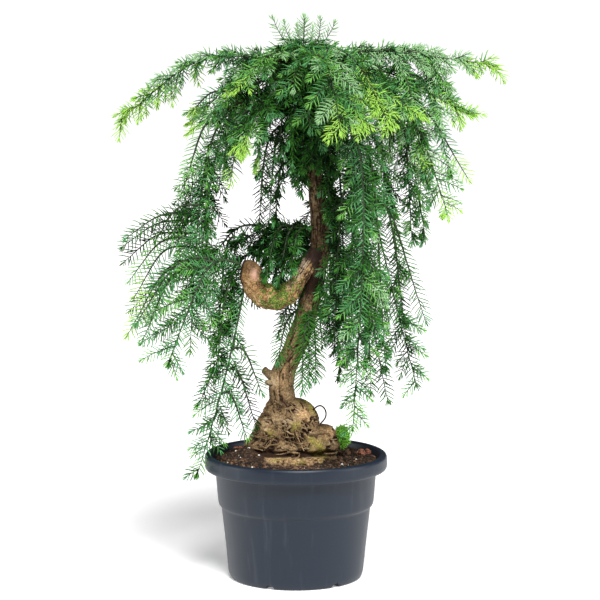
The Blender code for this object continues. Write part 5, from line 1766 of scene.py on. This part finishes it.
def make_sprout():
    """A bright cushion of moss on the right swelling's side: short pointed leaves all round a small lump."""
    rng = np.random.default_rng(9)
    count = SPROUT_LEAVES
    way = units(rng.normal(0, 1, (count, 3)))
    base = SPROUT_MIDDLE + way * SPROUT_HALF * rng.uniform(0.45, 1.0, (count, 1))
    heading = units(way + rng.normal(0, 0.45, (count, 3)) + 0.5 * UP)
    radial = units(np.cross(heading, rng.normal(0, 1, (count, 3))))
    length = rng.uniform(*SPROUT_LEAF_LENGTHS, count)
    points, faces = needle_mesh(base, heading, radial, length, np.full(count, SPROUT_LEAF_THICKNESS))
    moss = Finish("sprout_moss", base=(0.230, 0.560, 0.055), roughness=0.6)
    dress(mesh_of("sprout", points, faces, moss), "needles")


def make_sprout_core():
    """The lump that the cushion's leaves stand on: a ball stretched upwards."""
    turn = np.linspace(0, TURN, 24, endpoint=False)[None]
    level = np.linspace(-0.98, 0.98, 14)[:, None]
    out = np.sqrt(1 - level**2)
    unit = np.stack([out * np.cos(turn), out * np.sin(turn), level + 0 * turn], -1)
    points, faces = closed_tube(SPROUT_MIDDLE + SPROUT_HALF * 0.75 * unit)
    under = Finish("sprout_core", base=(0.050, 0.170, 0.020), roughness=0.9)
    dress(mesh_of("sprout_core", points, faces, under), "needles")


# ================================================================ curled bough

HOOK_RINGS = 240
HOOK_SIDES = 128
HOOK_MARKS = (0, 0.30, 0.58, 0.80, 0.93, 1.0)
HOOK_SCALE_SIZE = (0.0058, 0.0058, 0.0058)
# the tuft of moss under the belly and the painted highlight on the knob: middle and size
HOOK_TUFT = np.array([-0.0244, -0.0400, 0.3647])
HOOK_TUFT_SIZE = 0.0110
KNOB_SHINE = np.array([-0.0525, -0.0390, 0.4040])
KNOB_SHINE_SIZE = np.array([0.0046, 0.0080, 0.0062])
# which way the arm's side with painted light and its side with painted shade face
ARM_LIT_WAY = np.array([-0.55, -0.55, 0.62])
ARM_SHADED_WAY = np.array([0.70, -0.30, -0.65])


def smooth_marks(share, marks, values):
    """Values between marks, eased in and out of each."""
    marks, values = np.array(marks), np.array(values)
    k = np.clip(np.searchsorted(marks, share, side="right") - 1, 0, len(marks) - 2)
    u = np.clip((share - marks[k]) / (marks[k + 1] - marks[k]), 0, 1)
    return values[k] + (values[k + 1] - values[k]) * u * u * (3 - 2 * u)


def hook_path():
    """The curled bough's axis: a nearly straight arm from the trunk, then an arc to the knob, in even
    steps."""
    turn = np.radians(np.linspace(CURL_ARC[0], CURL_ARC[1] - 12, 160))
    arc = CURL_MIDDLE + CURL_BEND_RADIUS * np.stack([np.cos(turn), 0 * turn, np.sin(turn)], axis=1)
    root = trunk_axis(CURL_ROOT_HEIGHT) + (-0.002, -0.004, 0)
    arm = root + (arc[0] - root) * np.linspace(0, 1, 60)[:-1, None]
    arm[:, 1] += 0.004 * np.sin(np.linspace(0, math.pi, 60))[:-1]
    path = np.concatenate([arm, arc])
    along = np.concatenate([[0], np.cumsum(np.linalg.norm(np.diff(path, axis=0), axis=1))])
    even = np.linspace(0, along[-1], HOOK_RINGS)
    path = np.array([np.interp(even, along, column) for column in path.T]).T
    for _ in range(6):
        path[1:-1] = (path[:-2] + 2 * path[1:-1] + path[2:]) / 4
    return path, even


def hook_girth(share):
    """Its radius: thin in the arm, fat in the belly, and round at the knob, which closes like a ball."""
    arm, belly, knob = CURL_ARM_RADIUS, CURL_BELLY_RADIUS, CURL_KNOB_RADIUS
    girth = smooth_marks(share, HOOK_MARKS, (arm * 1.05, arm, belly, knob * 1.06, knob, knob))
    return girth * np.clip(1 - (np.clip(share - 0.90, 0, 1) / 0.1005) ** 3, 0.002, 1) ** 0.5


def bell(points, middle, size):
    """One at a point and fading round it, over size."""
    return np.exp(-(((points - middle) / size) ** 2).sum(-1))


def make_hook():
    """The curled bough: rings along its axis, moved out and in by their bark. It stands in long strips and
    one ridge on the arm and in scales on the belly, and the knob is smooth callus with a swirl."""
    path, along = hook_path()
    share = (along / along[-1])[:, None]
    rings = rings_along(path, hook_girth(share[:, 0]), HOOK_SIDES)
    out = units(rings - path[:, None])
    turn = np.linspace(0, TURN, HOOK_SIDES, endpoint=False)[None] + 0 * share
    grainy = np.stack([np.cos(turn) * 0.014, np.sin(turn) * 0.014, along[:, None] * 0.22 + 0 * turn], -1)
    on_arm = np.clip(1 - (share - 0.36) / 0.12, 0, 1)
    on_knob = np.clip((share - 0.80) / 0.08, 0, 1)
    strips = grain(grainy, 0.0022, 101, 2)
    edge, level = flakes(rings, HOOK_SCALE_SIZE, 110)
    scale = 0.0006 * level - 0.0010 * np.clip(1 - edge / 0.2, 0, 1)
    lumps = grain(rings, 0.011, 120, 3)
    swirl = np.sin(6 * lumps + 40 * share)
    relief = 0.0011 * strips * (0.35 + 0.65 * on_arm) + scale * (1 - on_knob) * (1 - 0.6 * on_arm)
    relief = relief + 0.0013 * lumps * (1 - 0.4 * on_arm) + 0.0003 * swirl * on_knob
    ridge = np.exp(-(((turn - 4.1 + 0.8 * share) % TURN / 0.16) ** 2)) * on_arm * 0.0014
    points, faces = closed_tube(rings + out * (relief + ridge)[..., None])

    belly = np.clip(1.25 - abs(share - 0.54) / 0.25, 0, 1)
    tuft = bell(rings, HOOK_TUFT, HOOK_TUFT_SIZE)
    moss = belly * (0.60 + 0.55 * out[..., 2] + 0.7 * tuft + 1.1 * grain(rings, 0.0040, 130, 3))
    # Painted shade: between the scales, in the arm's strips, where the arm leaves the trunk, round the knob's
    # edge as seen from the front, and on the arm's side away from the light
    hollow = np.clip(1 - edge / 0.15, 0, 1) * (1 - on_knob) * 0.7 + np.clip(-strips * on_arm * 0.8, 0, 1)
    hollow = hollow + 0.8 * np.clip((0.16 - share) / 0.06, 0, 1)
    hollow = hollow + 0.75 * on_knob * np.clip((out[..., 1] + 0.66) / 0.35, 0, 1)
    hollow = hollow + 0.40 * on_arm * np.clip(out @ ARM_SHADED_WAY - 0.35, 0, 1) / 0.65
    # Painted light on the arm's side that faces up, left and to the front, carried in the ridge mark with the
    # ridge's own paler colour
    bare = on_arm * np.clip((out @ ARM_LIT_WAY - 0.45) / 0.4, 0, 1) * (0.35 + 0.4 * strips)
    marks = {
        "moss": np.clip(moss, 0, 1),
        "hollow": np.clip(hollow, 0, 1),
        # painted highlight on the knob
        "shine": bell(rings, KNOB_SHINE, KNOB_SHINE_SIZE),
        "callus": np.broadcast_to(on_knob, turn.shape),
        "ridge": np.clip(ridge / 0.0012 + np.clip(bare, 0, 0.6), 0, 1),
    }
    marks = {name: np.concatenate([mark[:1], mark, mark[-1:]]) for name, mark in marks.items()}
    hook = mesh_of("curled_bough", points, faces, hook_bark(), **marks)
    dress(hook, "bark", "curled_bough_arm", "curled_bough_end")


def hook_bark():
    """Tan to orange bark, paler on the arm's ridge, with painted light on the arm's lit side and painted
    shade near black, green where moss holds on to the belly, and brown callus with a pink painted highlight
    on the knob."""
    f = Finish("hook_bark", roughness=0.75)
    f.set(**{"Specular IOR Level": 0.35})
    broad = f.noise(70, 4)
    fine = f.noise(650, 4, 0.65)
    tan = f.ramp(broad * 0.5 + fine * 0.5, (0.38, (0.060, 0.026, 0.008)), (0.46, (0.190, 0.095, 0.030)),
                 (0.54, (0.400, 0.235, 0.090)), (0.64, (0.640, 0.470, 0.270)))
    # Paler on the arm's ridge, and painted light on the arm's lit side
    tan = f.mix(f.attribute("ridge"), tan, (0.62, 0.54, 0.40))
    pink = f.ramp(broad * 0.4 + fine * 0.6, (0.38, (0.040, 0.020, 0.006)), (0.50, (0.160, 0.088, 0.030)),
                  (0.62, (0.400, 0.225, 0.110)))
    base = f.mix(f.attribute("callus") * 0.85, tan, pink)
    # Painted highlight, pale pink, on the knob
    base = f.mix(f.attribute("shine") * 0.65, base, (0.82, 0.48, 0.36))
    # Painted shade, near black
    base = f.mix(f.attribute("hollow").step(0.1, 0.8), base, (0.030, 0.012, 0.006))
    green = f.ramp(fine, (0.38, (0.010, 0.026, 0.003)), (0.50, (0.070, 0.125, 0.010)),
                   (0.62, (0.290, 0.330, 0.055)))
    f.set(**{"Base Color": f.mix(f.attribute("moss").step(0.25, 0.75), base, green)})
    f.bump(fine, 0.0006, 0.8)
    return f


# ================================================================ run

studio()
make_pot()
make_trunk()
make_rootlets()
make_lip_root()
make_stub()
make_soil()
make_crumbs()
make_chips()
make_grit()
make_pumice()
make_sprout()
make_sprout_core()
make_hook()
make_limb_wood()
make_foliage()
